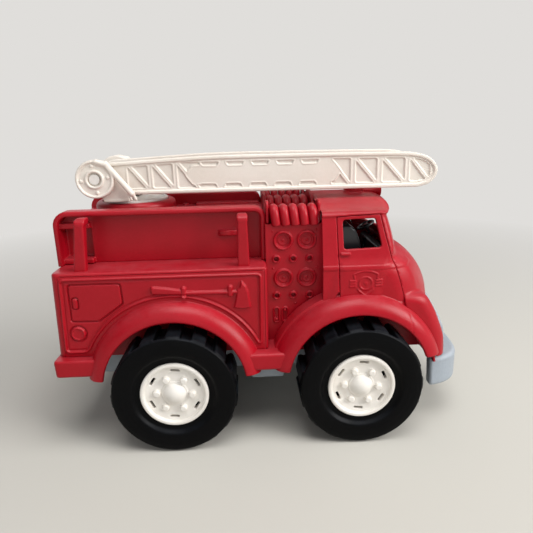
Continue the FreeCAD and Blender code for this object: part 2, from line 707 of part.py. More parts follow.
def dashboard():
    outline = [(82.0, 98.0), (80.5, 108.0), (83.0, 116.2), (89.0, 116.2), (91.0, 112.0), (91.0, 98.0)]
    return one_solid(slab_y(outline, -42.0, 42.0, [0.0, 2.0, 2.0, 1.5, 1.5, 0.0]))


STEERING_CENTRE = V(80.0, 20.0, 121.4)
STEERING_AXIS = V(-0.447, 0, 0.894)


def steering_wheel():
    ring = Part.makeTorus(6.2, 0.8, STEERING_CENTRE, STEERING_AXIS)
    boss = Part.makeCylinder(1.8, 1.6, STEERING_CENTRE - STEERING_AXIS * 0.8, STEERING_AXIS)
    spokes = []
    for angle in (90.0, 210.0, 330.0):
        spoke = Part.makeCylinder(0.6, 6.2, STEERING_CENTRE, V(0, 1, 0))
        spoke.rotate(STEERING_CENTRE, STEERING_AXIS, angle)
        spokes.append(spoke)
    return one_solid(ring.fuse([boss] + spokes))


def steering_column():
    top = STEERING_CENTRE - STEERING_AXIS * 0.85
    column = Part.makeCylinder(1.2, 12.0, top - STEERING_AXIS * 12.0, STEERING_AXIS)
    return one_solid(column.cut(dashboard()))


# ---------------------------------------------------------------- turntable and ladder
def turntable():
    disc = rod_z(TURNTABLE_RADIUS, TURNTABLE_X, 0, 147.2, 150.5)
    dish = rod_z(TURNTABLE_RADIUS - 2.0, TURNTABLE_X, 0, 149.6, 151.0)
    shaft = rod_z(SWIVEL_SHAFT_RADIUS, TURNTABLE_X, 0, 132.0, 148.0)
    return one_solid(disc.cut(dish).fuse(shaft))


def turntable_clip():
    """Ring snapped on the swivel shaft under the deck."""
    ring = rod_z(17.0, TURNTABLE_X, 0, 133.0, 136.2)
    return one_solid(ring.cut(rod_z(SWIVEL_SHAFT_RADIUS, TURNTABLE_X, 0, 130, 140)))


def pivot_bracket():
    """Right ladder bracket: foot, web, pivot disc and the strut moulded beside it."""
    inner_y = -LADDER_HALF_WIDTH - 1.2
    web_y = inner_y - 3.2
    disc_y = inner_y - 5.6
    face_y = disc_y - 0.8
    foot_top_z = LADDER_UNDERSIDE_Z - 1.0
    disc = rod_y(PIVOT_DISC_RADIUS, PIVOT_X, PIVOT_Z, disc_y, inner_y)
    rim = rod_y(PIVOT_DISC_RADIUS, PIVOT_X, PIVOT_Z, face_y, disc_y)
    rim = rim.cut(rod_y(PIVOT_DISC_RADIUS - 1.6, PIVOT_X, PIVOT_Z, face_y - 1, disc_y + 1))
    ring = rod_y(5.4, PIVOT_X, PIVOT_Z, face_y, disc_y + 0.5)
    web_side = [(-104.0, 152.0), (-99.0, 174.0), (-93.5, 174.5), (-83.0, foot_top_z), (-83.0, 152.0)]
    web = slab_y(web_side, web_y, inner_y)
    foot = box(-103.0, -88.0, web_y, -8.0, 150.5, foot_top_z)
    strut_low = V(-83.0, inner_y - 4.4, 152.5)
    strut_high = V(-95.0, inner_y - 4.4, 174.2)
    strut = Part.makeCylinder(2.3, (strut_high - strut_low).Length, strut_low, strut_high - strut_low)
    cap = Part.makeSphere(2.3, strut_high)
    link = box(-101.0, -94.0, disc_y, inner_y, 170.5, 174.5)
    shape = disc.fuse([rim, ring, web, foot, strut, cap, link])
    for k in range(4):
        bump = rod_y(1.1, PIVOT_X, PIVOT_Z + 7.9, face_y, disc_y + 0.5)
        bump.rotate(V(PIVOT_X, 0, PIVOT_Z), V(0, 1, 0), 90.0 * k)
        shape = shape.fuse(bump)
    bore = rod_y(PIN_RADIUS + RUNNING_CLEARANCE, PIVOT_X, PIVOT_Z, face_y - 1, inner_y + 1)
    return one_solid(shape.cut(bore))


def ladder_outline():
    """Side outline of the ladder: straight below, gently bowed above, with a blunt round tip."""
    under_rear = V(PIVOT_X, 0, LADDER_UNDERSIDE_Z)
    under_front = V(103.0, 0, LADDER_UNDERSIDE_Z)
    tip = V(116.0, 0, 165.3)
    top_front = V(90.0, 0, 177.6)
    top_rear = V(PIVOT_X, 0, 174.6)
    edges = [
        line(under_rear, under_front),
        arc(under_front, V(112.4, 0, 158.0), tip),
        arc(tip, V(107.6, 0, 174.4), top_front),
        arc(top_front, V(-10.0, 0, 178.3), top_rear),
        arc(top_rear, V(-116.4, 0, 164.4), under_rear),
    ]
    return Part.Wire(Part.__sortEdges__(edges))


def moved(shape, y):
    copy = shape.copy()
    copy.translate(V(0, y, 0))
    return copy


def ladder_truss():
    """Raised truss bars on the side web: uprights and diagonals beside the name plate."""
    bars = []
    low_z = 157.0
    high_z = 175.0
    cells = [-89.6 + 15.2 * k for k in range(3)] + [46.5 + 16.8 * k for k in range(4)]
    for x in cells:
        bars.append([(x - 1.0, low_z), (x + 1.0, low_z), (x + 1.0, high_z), (x - 1.0, high_z)])
        bars.append([(x + 12.4, low_z), (x + 14.6, low_z), (x + 2.2, high_z), (x, high_z)])
    return bars


def ladder_side():
    """Right ladder beam: deep rim round a thin web with raised truss bars and a blank plate."""
    outer_y = -LADDER_HALF_WIDTH
    inner_y = outer_y + 4.0
    web_y = outer_y + 1.8
    outline = Part.Face(ladder_outline())
    inside = outline.makeOffset2D(-2.6)
    rim = moved(outline, outer_y).extrude(V(0, inner_y - outer_y, 0))
    rim = rim.cut(moved(inside, outer_y - 1).extrude(V(0, inner_y - outer_y + 2, 0)))
    web = moved(inside, web_y).extrude(V(0, 1.6, 0))
    raised = [slab_y(bar, web_y - 0.8, web_y + 0.2) for bar in ladder_truss()]
    plate_side = [(-46.0, 166.0), (-42.5, 171.6), (47.0, 171.6), (50.5, 166.0), (47.0, 160.4), (-42.5, 160.4)]
    raised.append(slab_y(plate_side, web_y - 1.1, web_y + 0.2))
    relief = Part.makeCompound(raised).common(moved(inside, outer_y - 1).extrude(V(0, 6, 0)))
    shape = rim.fuse([web] + relief.Solids)
    return one_solid(shape.cut(rod_y(PIN_RADIUS, PIVOT_X, PIVOT_Z, outer_y - 1, inner_y + 1)))


def ladder_rungs():
    """Flat rungs between the two beams, and the cross-bar behind the tip."""
    half = LADDER_HALF_WIDTH - 4.0
    rungs = []
    for k in range(13):
        x = -84.0 + 14.4 * k
        rungs.append(box(x, x + 4.0, -half, half, 168.6, 171.6))
    rungs.append(box(105.0, 108.0, -half, half, 158.0, 170.0))
    return Part.makeCompound(rungs)


def ladder_pin():
    reach = LADDER_HALF_WIDTH + 6.6
    return rod_y(PIN_RADIUS, PIVOT_X, PIVOT_Z, -reach, reach)


# ---------------------------------------------------------------- write every part
def build():
    wheel_set("rear", REAR_AXLE_X)
    wheel_set("front", FRONT_AXLE_X)
    save("chassis", chassis())
    save("bumper", bumper())
    save("grille", grille())
    save("rear_body", rear_body())
    save("rear_step", rear_step())
    save_pair("rear_fender", rear_fender())
    save_pair("front_fender", front_fender())
    save_pair("running_board", running_board())
    save("tail_lights", tail_lights())
    save_pair("side_wall", side_wall())
    save_pair("rear_ladder_bracket", ladder_bracket(-114.6))
    save_pair("front_ladder_bracket", ladder_bracket(-17.4))
    save("deck", deck())
    save_pair("pump_panel", pump_panel())
    save("hose_bed", hose_bed())
    save("folded_hoses", folded_hoses())
    save("cab_shell", cab_shell())
    save("cab_nose", cab_nose())
    save_pair("headlight", headlight())
    save("ladder_rest", ladder_rest())
    save("roof_horn", roof_horn())
    save("seat", seat())
    save("dashboard", dashboard())
    save("steering_wheel", steering_wheel())
    save("steering_column", steering_column())
    save("turntable", turntable())
    save("turntable_clip", turntable_clip())
    save_pair("pivot_bracket", pivot_bracket())
    save_pair("ladder_side", ladder_side())
    save("ladder_rungs", ladder_rungs())
    save("ladder_pin", ladder_pin())


build()
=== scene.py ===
import math

import bpy
import numpy as np
from mathutils import Matrix, Vector


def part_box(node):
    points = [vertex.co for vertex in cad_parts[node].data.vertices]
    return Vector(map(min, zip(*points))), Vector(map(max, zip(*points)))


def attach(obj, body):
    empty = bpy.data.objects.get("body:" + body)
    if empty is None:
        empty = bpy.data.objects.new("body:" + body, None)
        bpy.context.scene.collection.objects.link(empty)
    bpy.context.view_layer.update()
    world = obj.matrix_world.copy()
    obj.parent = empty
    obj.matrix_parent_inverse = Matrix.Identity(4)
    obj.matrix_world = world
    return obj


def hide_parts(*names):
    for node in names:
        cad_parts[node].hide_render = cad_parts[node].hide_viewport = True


# Toy fire engine with a swivelling, lifting ladder. Every shape below is worked out in millimetres in the
# CAD frame and written to Blender in metres. +X is forward, +Z is up, and the right side has negative y.
MM = 0.001

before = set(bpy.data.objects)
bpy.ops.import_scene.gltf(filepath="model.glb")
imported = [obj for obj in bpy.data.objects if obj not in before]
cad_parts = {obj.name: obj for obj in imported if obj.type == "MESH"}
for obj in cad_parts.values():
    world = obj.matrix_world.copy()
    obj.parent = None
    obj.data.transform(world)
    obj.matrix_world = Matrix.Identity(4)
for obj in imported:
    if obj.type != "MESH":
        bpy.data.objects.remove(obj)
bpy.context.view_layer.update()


# ---------------------------------------------------------------- camera
def make_camera():
    """Camera at the near side, a little above the ladder and looking slightly down."""
    location_mm = (-13.1, -340.5, 193.5)
    yaw, pitch, roll = -0.044, 0.278, -0.0225
    ahead = Vector((-math.sin(yaw) * math.cos(pitch), math.cos(yaw) * math.cos(pitch), -math.sin(pitch)))
    level = Vector((math.cos(yaw), math.sin(yaw), 0.0))
    above = level.cross(ahead)
    right = math.cos(roll) * level + math.sin(roll) * above
    up = math.cos(roll) * above - math.sin(roll) * level
    data = bpy.data.cameras.new("camera")
    data.sensor_width = 36.0
    data.lens = 32.42
    data.clip_start = 0.01
    data.clip_end = 50.0
    camera = bpy.data.objects.new("camera", data)
    bpy.context.scene.collection.objects.link(camera)
    turn = Matrix((right, up, -ahead)).transposed().to_4x4()
    camera.matrix_world = Matrix.Translation(Vector(location_mm) * MM) @ turn
    bpy.context.scene.camera = camera


make_camera()


# ---------------------------------------------------------------- distances, all in millimetres
# A solid is given by the distance to its surface, below zero inside. EMPTY stands for no solid yet.
EMPTY = np.float32(99.0)


def merged(a, b, fillet=0.0):
    """Two solids joined, with a hollow fillet where they meet."""
    if not fillet:
        return np.minimum(a, b)
    reach = np.hypot(np.maximum(fillet - a, 0.0), np.maximum(fillet - b, 0.0))
    return np.maximum(fillet, np.minimum(a, b)) - reach


def crossed(a, b, edge=0.0):
    """What two solids share, with a rounded edge."""
    if not edge:
        return np.maximum(a, b)
    reach = np.hypot(np.maximum(edge + a, 0.0), np.maximum(edge + b, 0.0))
    return np.minimum(-edge, np.maximum(a, b)) + reach


def cut(a, b, edge=0.0):
    """The first solid without the second."""
    return crossed(a, -b, edge)


def band(value, low, high):
    """Distance to the slab between two levels."""
    return np.abs(value - (low + high) / 2) - (high - low) / 2


def block(x, y, z, low, high, edge=0.0):
    """Box with rounded edges."""
    sides = crossed(band(x, low[0], high[0]), band(y, low[1], high[1]), edge)
    return crossed(sides, band(z, low[2], high[2]), edge)


def rod(u, v, w, centre, radius, low, high, edge=0.0):
    """Round bar along w."""
    return crossed(np.hypot(u - centre[0], v - centre[1]) - radius, band(w, low, high), edge)


def ball(u, v, w, radius):
    """Sphere about the point where all three distances are zero."""
    return np.sqrt(np.square(u) + np.square(v) + np.square(w)) - radius


def capsule(x, y, z, start, end, radius):
    """Round bar with domed ends."""
    start, end = np.array(start, np.float32), np.array(end, np.float32)
    along = end - start
    p = np.stack([x - start[0], y - start[1], z - start[2]])
    t = np.clip((p[0] * along[0] + p[1] * along[1] + p[2] * along[2]) / (along @ along), 0.0, 1.0)
    return np.sqrt(sum((p[i] - t * along[i]) ** 2 for i in range(3))) - radius


def swell(t):
    """Round bump: 1 at t = 0, falling smoothly to 0 at t = 1 and beyond."""
    return np.square(np.maximum(1.0 - np.square(t), 0.0))


def ramp(value, width):
    """Smooth step from 0 to 1 centred on value = 0."""
    t = np.clip(value / width + 0.5, 0.0, 1.0)
    return t * t * (3.0 - 2.0 * t)


def rounded_ring(points, radius):
    """Points of a closed outline with rounded corners; radius is one number, or one for each corner."""
    points = [np.array(p, float) for p in points]
    radii = radius if isinstance(radius, (list, tuple)) else [radius] * len(points)
    steps = 6
    ring = []
    for i, corner in enumerate(points):
        before = points[i - 1] - corner
        after = points[(i + 1) % len(points)] - corner
        before, after = before / np.linalg.norm(before), after / np.linalg.norm(after)
        half_turn = math.acos(np.clip(before @ after, -1.0, 1.0)) / 2
        if radii[i] <= 0 or half_turn > 1.55:
            ring.append(corner)
            continue
        middle_way = (before + after) / np.linalg.norm(before + after)
        centre = corner + middle_way * radii[i] / math.sin(half_turn)
        start = corner + before * radii[i] / math.tan(half_turn) - centre
        end = corner + after * radii[i] / math.tan(half_turn) - centre
        for k in range(steps + 1):
            way = start * (1 - k / steps) + end * (k / steps)
            ring.append(centre + way / np.linalg.norm(way) * radii[i])
    return np.array(ring)


def outline(points, radius=0.0, cell=0.25, margin=6.0):
    """Signed distance to a closed outline, as a function of two arrays, read from a table."""
    ring = rounded_ring(points, radius)
    low = ring.min(0) - margin
    count = np.ceil((ring.max(0) + margin - low) / cell).astype(int) + 1
    u, v = np.meshgrid(*(low[i] + cell * np.arange(count[i]) for i in (0, 1)), indexing="ij")
    nearest = np.full(u.shape, 1e9)
    inside = np.zeros(u.shape, bool)
    for a, b in zip(ring, np.roll(ring, -1, 0)):
        edge = b - a
        length2 = edge @ edge
        if length2 < 1e-12:
            continue
        t = np.clip(((u - a[0]) * edge[0] + (v - a[1]) * edge[1]) / length2, 0.0, 1.0)
        nearest = np.minimum(nearest, (u - a[0] - t * edge[0]) ** 2 + (v - a[1] - t * edge[1]) ** 2)
        if edge[1]:
            inside ^= ((a[1] > v) != (b[1] > v)) & (u < a[0] + edge[0] * (v - a[1]) / edge[1])
    table = np.where(inside, -1.0, 1.0) * np.sqrt(nearest)
    return from_table(table.astype(np.float32), low, cell)


def rectangle(low, high, radius=0.0):
    """Outline of a rectangle between two opposite corners."""
    return outline([low, (low[0], high[1]), high, (high[0], low[1])], radius)


def both_sides(half):
    """Outline points from one side over the middle to the other; half runs from the side to the middle."""
    return [(-y, z) for y, z in half] + half[-2::-1]


def from_table(table, low, cell):
    """Reads a table of values between its points; beyond the table the distance goes on growing."""

    def value(u, v):
        at_u, at_v = (u - low[0]) / cell, (v - low[1]) / cell
        in_u = np.clip(at_u, 0.0, table.shape[0] - 1.001)
        in_v = np.clip(at_v, 0.0, table.shape[1] - 1.001)
        i, j = in_u.astype(np.int32), in_v.astype(np.int32)
        s, t = in_u - i, in_v - j
        near = table[i, j] * (1 - t) + table[i, j + 1] * t
        far = table[i + 1, j] * (1 - t) + table[i + 1, j + 1] * t
        return near * (1 - s) + far * s + cell * np.hypot(at_u - in_u, at_v - in_v)

    return value


def tabled(function, low, high, cell):
    """Works out a function of two arrays once, as a table."""
    axes = [np.arange(low[i], high[i] + cell, cell) for i in (0, 1)]
    u, v = np.meshgrid(*axes, indexing="ij")
    return from_table(function(u, v).astype(np.float32), low, cell)


def curve_through(points, per_span=6):
    """Smooth open curve through the points."""
    p = np.array(points, float)
    p = np.vstack([2 * p[0] - p[1], p, 2 * p[-1] - p[-2]])
    made = []
    for i in range(1, len(p) - 2):
        for k in range(per_span):
            t = k / per_span
            a, b, c, d = p[i - 1 : i + 3]
            bend = (2 * a - 5 * b + 4 * c - d) * t**2 + (3 * b - a - 3 * c + d) * t**3
            made.append(0.5 * (2 * b + (c - a) * t + bend))
    made.append(p[-2])
    return [tuple(q) for q in made]


# ---------------------------------------------------------------- skin of a solid
CELLS = 8
CORNERS = np.array([(i, j, k) for i in (0, 1) for j in (0, 1) for k in (0, 1)])
CELL_EDGES = [(a, b) for a in range(8) for b in range(a + 1, 8) if abs(CORNERS[a] - CORNERS[b]).sum() == 1]


def crossing_cells(field, low, high, step):
    """Cells of the lattice that the surface passes through, with the distances at their eight corners."""
    counts = np.ceil((high - low) / (step * CELLS)).astype(int)
    places = np.indices(counts).reshape(3, -1).T
    middles = (low + (places + 0.5) * step * CELLS).astype(np.float32)
    reach = step * CELLS * math.sqrt(3) / 2 * 1.25 + 2.0 * step
    places = places[np.abs(field(*middles.T)) < reach]
    offsets = np.indices((CELLS + 1,) * 3).reshape(3, -1).T
    cells, values = [], []
    for chunk in np.array_split(places, max(1, len(places) // 300)):
        first = chunk * CELLS
        lattice = (first[:, None, :] + offsets[None]).reshape(-1, 3)
        points = (low + lattice * step).astype(np.float32)
        d = field(*points.T).reshape((-1,) + (CELLS + 1,) * 3)
        ends = [slice(0, CELLS), slice(1, CELLS + 1)]
        at = np.stack([d[:, ends[i], ends[j], ends[k]] for i, j, k in CORNERS], -1)
        inside = at < 0
        mixed = inside.any(-1) & ~inside.all(-1)
        where = np.nonzero(mixed)
        cells.append(first[where[0]] + np.stack(where[1:], 1))
        values.append(at[mixed])
    return np.concatenate(cells), np.concatenate(values)


def slope(field, points, gap):
    """How the distance changes along each axis, from differences over a small gap."""
    away = []
    for axis in range(3):
        shift = np.zeros(3, np.float32)
        shift[axis] = gap
        away.append((field(*(points + shift).T) - field(*(points - shift).T)) / (2 * gap))
    return np.stack(away, 1)


def settled(field, points, step, rounds):
    """Moves points onto the surface."""
    for _ in range(rounds):
        distance = field(*points.T)
        way = slope(field, points, 0.15 * step)
        move = -(distance / (np.square(way).sum(1) + 1e-6))[:, None] * way
        length = np.linalg.norm(move, axis=1, keepdims=True)
        points = points + move * np.minimum(1.0, 0.5 * step / np.maximum(length, 1e-9))
        points = points.astype(np.float32)
    return points


def evened(points, quads):
    """Moves each point halfway to the middle of its neighbours."""
    ends = np.concatenate([quads[:, (0, 1)], quads[:, (1, 2)], quads[:, (2, 3)], quads[:, (3, 0)]])
    total = np.zeros_like(points, dtype=np.float64)
    for axis in range(3):
        for a, b in ((0, 1), (1, 0)):
            total[:, axis] += np.bincount(ends[:, a], points[ends[:, b], axis], len(points))
    count = np.bincount(ends[:, 0], minlength=len(points)) + np.bincount(ends[:, 1], minlength=len(points))
    return (0.5 * points + 0.5 * total / np.maximum(count, 1)[:, None]).astype(np.float32)


def skin(field, low, high, step):
    """Evenly meshed surface of the solid whose signed distance is field(x, y, z).

    Only the part between low and high is meshed, so where that box cuts the solid, the surface stays open.
    """
    low = np.array(low, float) - 1.37 * step
    high = np.array(high, float) + 1.37 * step
    cells, values = crossing_cells(field, low, high, step)
    inside = values < 0
    total = np.zeros((len(cells), 3))
    count = np.zeros(len(cells))
    for a, b in CELL_EDGES:
        hit = inside[:, a] != inside[:, b]
        t = values[hit, a] / (values[hit, a] - values[hit, b])
        total[hit] += CORNERS[a] + t[:, None] * (CORNERS[b] - CORNERS[a])
        count[hit] += 1
    points = (low + (cells + total / count[:, None]) * step).astype(np.float32)
    span = cells.max(0) + 2
    key = (cells[:, 0] * span[1] + cells[:, 1]) * span[2] + cells[:, 2]
    order = np.argsort(key)
    ranked = key[order]
    quads = []
    for axis, far_corner in ((0, 4), (1, 2), (2, 1)):
        hit = inside[:, 0] != inside[:, far_corner]
        home = cells[hit]
        side_a, side_b = np.zeros(3, int), np.zeros(3, int)
        side_a[(axis + 1) % 3] = 1
        side_b[(axis + 2) % 3] = 1
        ring = np.stack([home, home - side_a, home - side_a - side_b, home - side_b], 1)
        ring_key = (ring[..., 0] * span[1] + ring[..., 1]) * span[2] + ring[..., 2]
        spot = np.minimum(np.searchsorted(ranked, ring_key), len(ranked) - 1)
        whole = (ranked[spot] == ring_key).all(1)
        quad = order[spot]
        backwards = ~inside[hit, 0]
        quad[backwards] = quad[backwards][:, ::-1]
        quads.append(quad[whole])
    quads = np.concatenate(quads)
    points = settled(field, points, step, 2)
    for _ in range(2):
        points = settled(field, evened(points, quads), step, 1)
    return settled(field, points, step, 1), quads


def mirrored(points, quads):
    """The shape on the other side of the middle plane."""
    return points * np.array((1, -1, 1), np.float32), quads[:, ::-1]


def make_piece(name, shape, material, body, slot, stands_for=()):
    """Writes one shape as a Blender object that rides on a body of the frame."""
    points, faces = shape
    mesh = bpy.data.meshes.new(name)
    corners = (np.asarray(points, float) * MM).tolist()
    mesh.from_pydata(corners, [], [tuple(map(int, face)) for face in faces])
    mesh.polygons.foreach_set("use_smooth", np.ones(len(mesh.polygons), bool))
    mesh.update()
    piece = bpy.data.objects.new(name, mesh)
    bpy.context.scene.collection.objects.link(piece)
    mesh.materials.append(material)
    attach(piece, body)
    if stands_for:
        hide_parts(*stands_for)
    return piece


def make_pair(name, shape, material, body, slot, nodes):
    """The shape is the right-hand piece; its mirror image is the left-hand one."""
    for side, form in (("right", shape), ("left", mirrored(*shape))):
        stands_for = [node + "_" + side for node in nodes]
        make_piece(name + "_" + side, form, material, body, slot, stands_for)


def box_mm(node):
    """Lowest and highest corner of a CAD node, in millimetres."""
    low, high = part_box(node)
    return np.array(low) / MM, np.array(high) / MM


# ---------------------------------------------------------------- materials
def add_node(tree, kind, **settings):
    """Shader node with some of its inputs or properties set."""
    node = tree.nodes.new(kind)
    for key, value in settings.items():
        if key in node.inputs.keys():
            node.inputs[key].default_value = value
        else:
            setattr(node, key, value)
    return node


def noise(tree, place, scale, detail=3.0, roughness=0.55):
    """Noise pattern fixed to the piece."""
    node = add_node(tree, "ShaderNodeTexNoise", Scale=scale, Detail=detail, Roughness=roughness)
    tree.links.new(place, node.inputs["Vector"])
    return node.outputs["Fac"]


def between(tree, value, low, high, to_low=0.0, to_high=1.0):
    """Moves a value from one range to another and holds it there."""
    node = add_node(tree, "ShaderNodeMapRange", clamp=True)
    tree.links.new(value, node.inputs["Value"])
    for key, number in (("From Min", low), ("From Max", high), ("To Min", to_low), ("To Max", to_high)):
        node.inputs[key].default_value = number
    return node.outputs["Result"]


def arithmetic(tree, operation, a, b):
    """Result of one sum or product, of numbers or node outputs."""
    node = add_node(tree, "ShaderNodeMath", operation=operation)
    for socket, value in ((node.inputs[0], a), (node.inputs[1], b)):
        if isinstance(value, (int, float)):
            socket.default_value = value
        else:
            tree.links.new(value, socket)
    return node.outputs[0]


def blended(tree, factor, first, second):
    """Mix of two colours."""
    node = add_node(tree, "ShaderNodeMix", data_type="RGBA")
    for socket, value in ((node.inputs[0], factor), (node.inputs[6], first), (node.inputs[7], second)):
        if isinstance(value, (tuple, int, float)):
            socket.default_value = value
        else:
            tree.links.new(value, socket)
    return node.outputs[2]


def mixed_shader(tree, factor, first, second):
    """Blend of two shaders."""
    node = tree.nodes.new("ShaderNodeMixShader")
    for socket, value in zip(node.inputs, (factor, first, second)):
        tree.links.new(value, socket)
    return node.outputs[0]


def colour(code):
    """Scene-linear colour from a hexadecimal display colour."""
    parts = [int(code[i : i + 2], 16) / 255 for i in (0, 2, 4)]
    return tuple(p / 12.92 if p <= 0.04045 else ((p + 0.055) / 1.055) ** 2.4 for p in parts) + (1.0,)


def plastic(name, base, bloom, shade, roughness, dust_and_top_light, dust_and_top_light_colour, grain=1.0, specular=0.45):
    """Moulded plastic: clouded colour, fine mould grain, uneven gloss, and a film on what faces up: dust, and
    on the red and the tyre plastic also painted light from above.
    """
    material = bpy.data.materials.new(name)
    material.use_nodes = True
    tree = material.node_tree
    shader = tree.nodes["Principled BSDF"]
    place = tree.nodes.new("ShaderNodeTexCoord").outputs["Object"]
    facing = tree.nodes.new("ShaderNodeSeparateXYZ")
    tree.links.new(tree.nodes.new("ShaderNodeNewGeometry").outputs["Normal"], facing.inputs[0])

    cloud = between(tree, noise(tree, place, 28.0, 4.0), 0.35, 0.7)
    speck = between(tree, noise(tree, place, 520.0, 4.0, 0.65), 0.3, 0.75)
    tint = blended(tree, cloud, colour(shade), colour(base))
    tint = blended(tree, arithmetic(tree, "MULTIPLY", speck, 0.30), tint, colour(bloom))
    # Film on what faces up: dust in patches; where its colour is paler than the plastic it is also painted
    # light from above, lightening the tops.
    upward = between(tree, facing.outputs["Z"], 0.35, 0.98)
    patches = between(tree, noise(tree, place, 90.0, 6.0, 0.7), 0.25, 0.8)
    dust_and_top_light_film = arithmetic(tree, "MULTIPLY", arithmetic(tree, "MULTIPLY", upward, patches), dust_and_top_light)
    tint = blended(tree, dust_and_top_light_film, tint, colour(dust_and_top_light_colour))
    tree.links.new(tint, shader.inputs["Base Color"])

    streak = between(tree, noise(tree, place, 60.0, 5.0), 0.3, 0.7, roughness - 0.06, roughness + 0.07)
    dulled = arithmetic(tree, "ADD", streak, arithmetic(tree, "MULTIPLY", dust_and_top_light_film, 0.5))
    tree.links.new(dulled, shader.inputs["Roughness"])
    shader.inputs["Specular IOR Level"].default_value = specular

    fine = arithmetic(tree, "MULTIPLY", noise(tree, place, 1500.0, 2.0), 0.35)
    broad = arithmetic(tree, "MULTIPLY", noise(tree, place, 170.0, 3.0), 0.65)
    relief = arithmetic(tree, "ADD", fine, broad)
    bump = add_node(tree, "ShaderNodeBump", Strength=0.35 * grain, Distance=0.00022)
    tree.links.new(relief, bump.inputs["Height"])
    tree.links.new(bump.outputs["Normal"], shader.inputs["Normal"])
    return material


# The pale pink film on what faces up is dust and also painted light from above on the tops.
RED = plastic("red_plastic", "A2061A", "B01426", "960414", 0.36, 0.12, "D09AA2", specular=0.26)
CREAM = plastic("cream_plastic", "DFD7CD", "E8E2DA", "D6CDC1", 0.45, 0.10, "CFC3B4")
WHITE = plastic("white_plastic", "E6E2DB", "EFECE7", "DFD8CE", 0.42, 0.10, "CFC6BA")
PALE = plastic("pale_plastic", "DCD8D2", "EBE7E2", "CFC9C2", 0.18, 0.10, "C4B9AE", specular=0.8)
GREY = plastic("grey_plastic", "98A0A8", "A8AFB6", "8C949C", 0.45, 0.15, "B9B4AC")
BLACK = plastic("black_plastic", "17181B", "212327", "101114", 0.30, 0.06, "6B7078", specular=0.6)
# The blue-grey film on what faces up is a painted highlight on the tops of the tyre lugs, with a little dust.
RUBBER = plastic("tyre_plastic", "050506", "0A0B0D", "030304", 0.38, 0.14, "59606C", grain=1.5, specular=0.08)

# Material, body and slot of the pieces fixed to the truck.
RED_BODY = (RED, "truck", "red_body")
GREY_PARTS = (GREY, "truck", "grey_chassis")
BLACK_CABIN = (BLACK, "truck", "black_interior")


# ---------------------------------------------------------------- places taken from the frame
rear_axle_low, rear_axle_high = box_mm("rear_axle")
front_axle_low, front_axle_high = box_mm("front_axle")
REAR_X = float(rear_axle_low[0] + rear_axle_high[0]) / 2
FRONT_X = float(front_axle_low[0] + front_axle_high[0]) / 2
AXLE_Z = float(rear_axle_low[2] + rear_axle_high[2]) / 2
body_high = box_mm("rear_body")[1]
step_low, step_high = box_mm("rear_step")
fender_low, fender_high = box_mm("rear_fender_right")
wall_low, wall_high = box_mm("side_wall_right")
deck_low, deck_high = box_mm("deck")
tray_low, tray_high = box_mm("chassis")
cab_low, cab_high = box_mm("cab_shell")
turntable_low, turntable_high = box_mm("turntable")
beam_low = box_mm("ladder_side_right")[0]
pin_low, pin_high = box_mm("ladder_pin")

RELIEF = 2.2
BODY_HALF = float(body_high[1]) - RELIEF
SHELF_Z = float(body_high[2])
STEP_TOP = float(step_high[2])
STEP_BOTTOM = float(step_low[2])
LIP_Y = -float(fender_low[1])
ARCH = 44.5
FENDER = 55.0
UNDER_FENDER = 50.4
SPINE_HALF = 32.0
TAIL_X = -130.2
PANEL_DEPTH = 1.8
SKIN = 2.6
TURN_X = float(turntable_low[0] + turntable_high[0]) / 2
PIVOT_X = float(pin_low[0] + pin_high[0]) / 2
PIVOT_Z = float(pin_low[2] + pin_high[2]) / 2


# ---------------------------------------------------------------- rear body, step, fenders, running boards
def tail_x(z):
    """The tail leans back a little towards the step."""
    return TAIL_X - 0.028 * (SHELF_Z - z)


def from_axle(x, z, axle_x):
    """Distance from the line of an axle."""
    return np.hypot(x - axle_x, z - AXLE_Z)


def rear_body(x, y, z):
    """Hollow box with a leaning tail, open below and over the wheels, with pockets for the side panels."""
    side = np.abs(y)
    inward = x - tail_x(z)
    tail = crossed(-inward, side - BODY_HALF, 4.5)
    box = crossed(crossed(tail, x - body_high[0], 1.6), z - SHELF_Z, 1.6)
    hollow = block(inward, side, z, (3.0, -9.0, -9.0), (126.0, BODY_HALF - 3, SHELF_Z - 3), 1.0)
    shell = cut(box, hollow, 0.4)
    shell = crossed(shell, STEP_TOP - z, 0.3)
    around = from_axle(x, z, REAR_X)
    pocket = crossed(band(z, STEP_TOP + 0.4, SHELF_Z - 2.2), crossed(4.7 - inward, x - body_high[0] + 2.2))
    pocket = crossed(crossed(pocket, BODY_HALF - PANEL_DEPTH + 0.1 - side), FENDER + 1.9 - around)
    return cut(cut(shell, pocket, 0.1), around - (FENDER - 1.5), 0.3)


def rear_step(x, y, z):
    """Board across the tail, hollow below, with room for the chassis and the wheels."""
    side = np.abs(y)
    half = float(step_high[1])
    board = block(x, side, z, (step_low[0], -half, STEP_BOTTOM), (-100.0, half, STEP_TOP), 1.6)
    lean = step_low[0] + 0.06 * (STEP_TOP - z) - x
    board = crossed(board, crossed(lean, side - half, 3.0), 1.2)
    hollow = block(x, side, z, (step_low[0] + 3, 3 - half, 0.0), (-90.0, half - 3, STEP_TOP - 3), 1.0)
    board = cut(board, hollow, 0.6)
    tray = block(x, side, z, (tray_low[0] - 0.2, -9.0, 0), (0, SPINE_HALF + 0.2, STEP_TOP + 2))
    board = cut(board, tray, 0.3)
    return cut(board, from_axle(x, z, REAR_X) - UNDER_FENDER, 0.3)


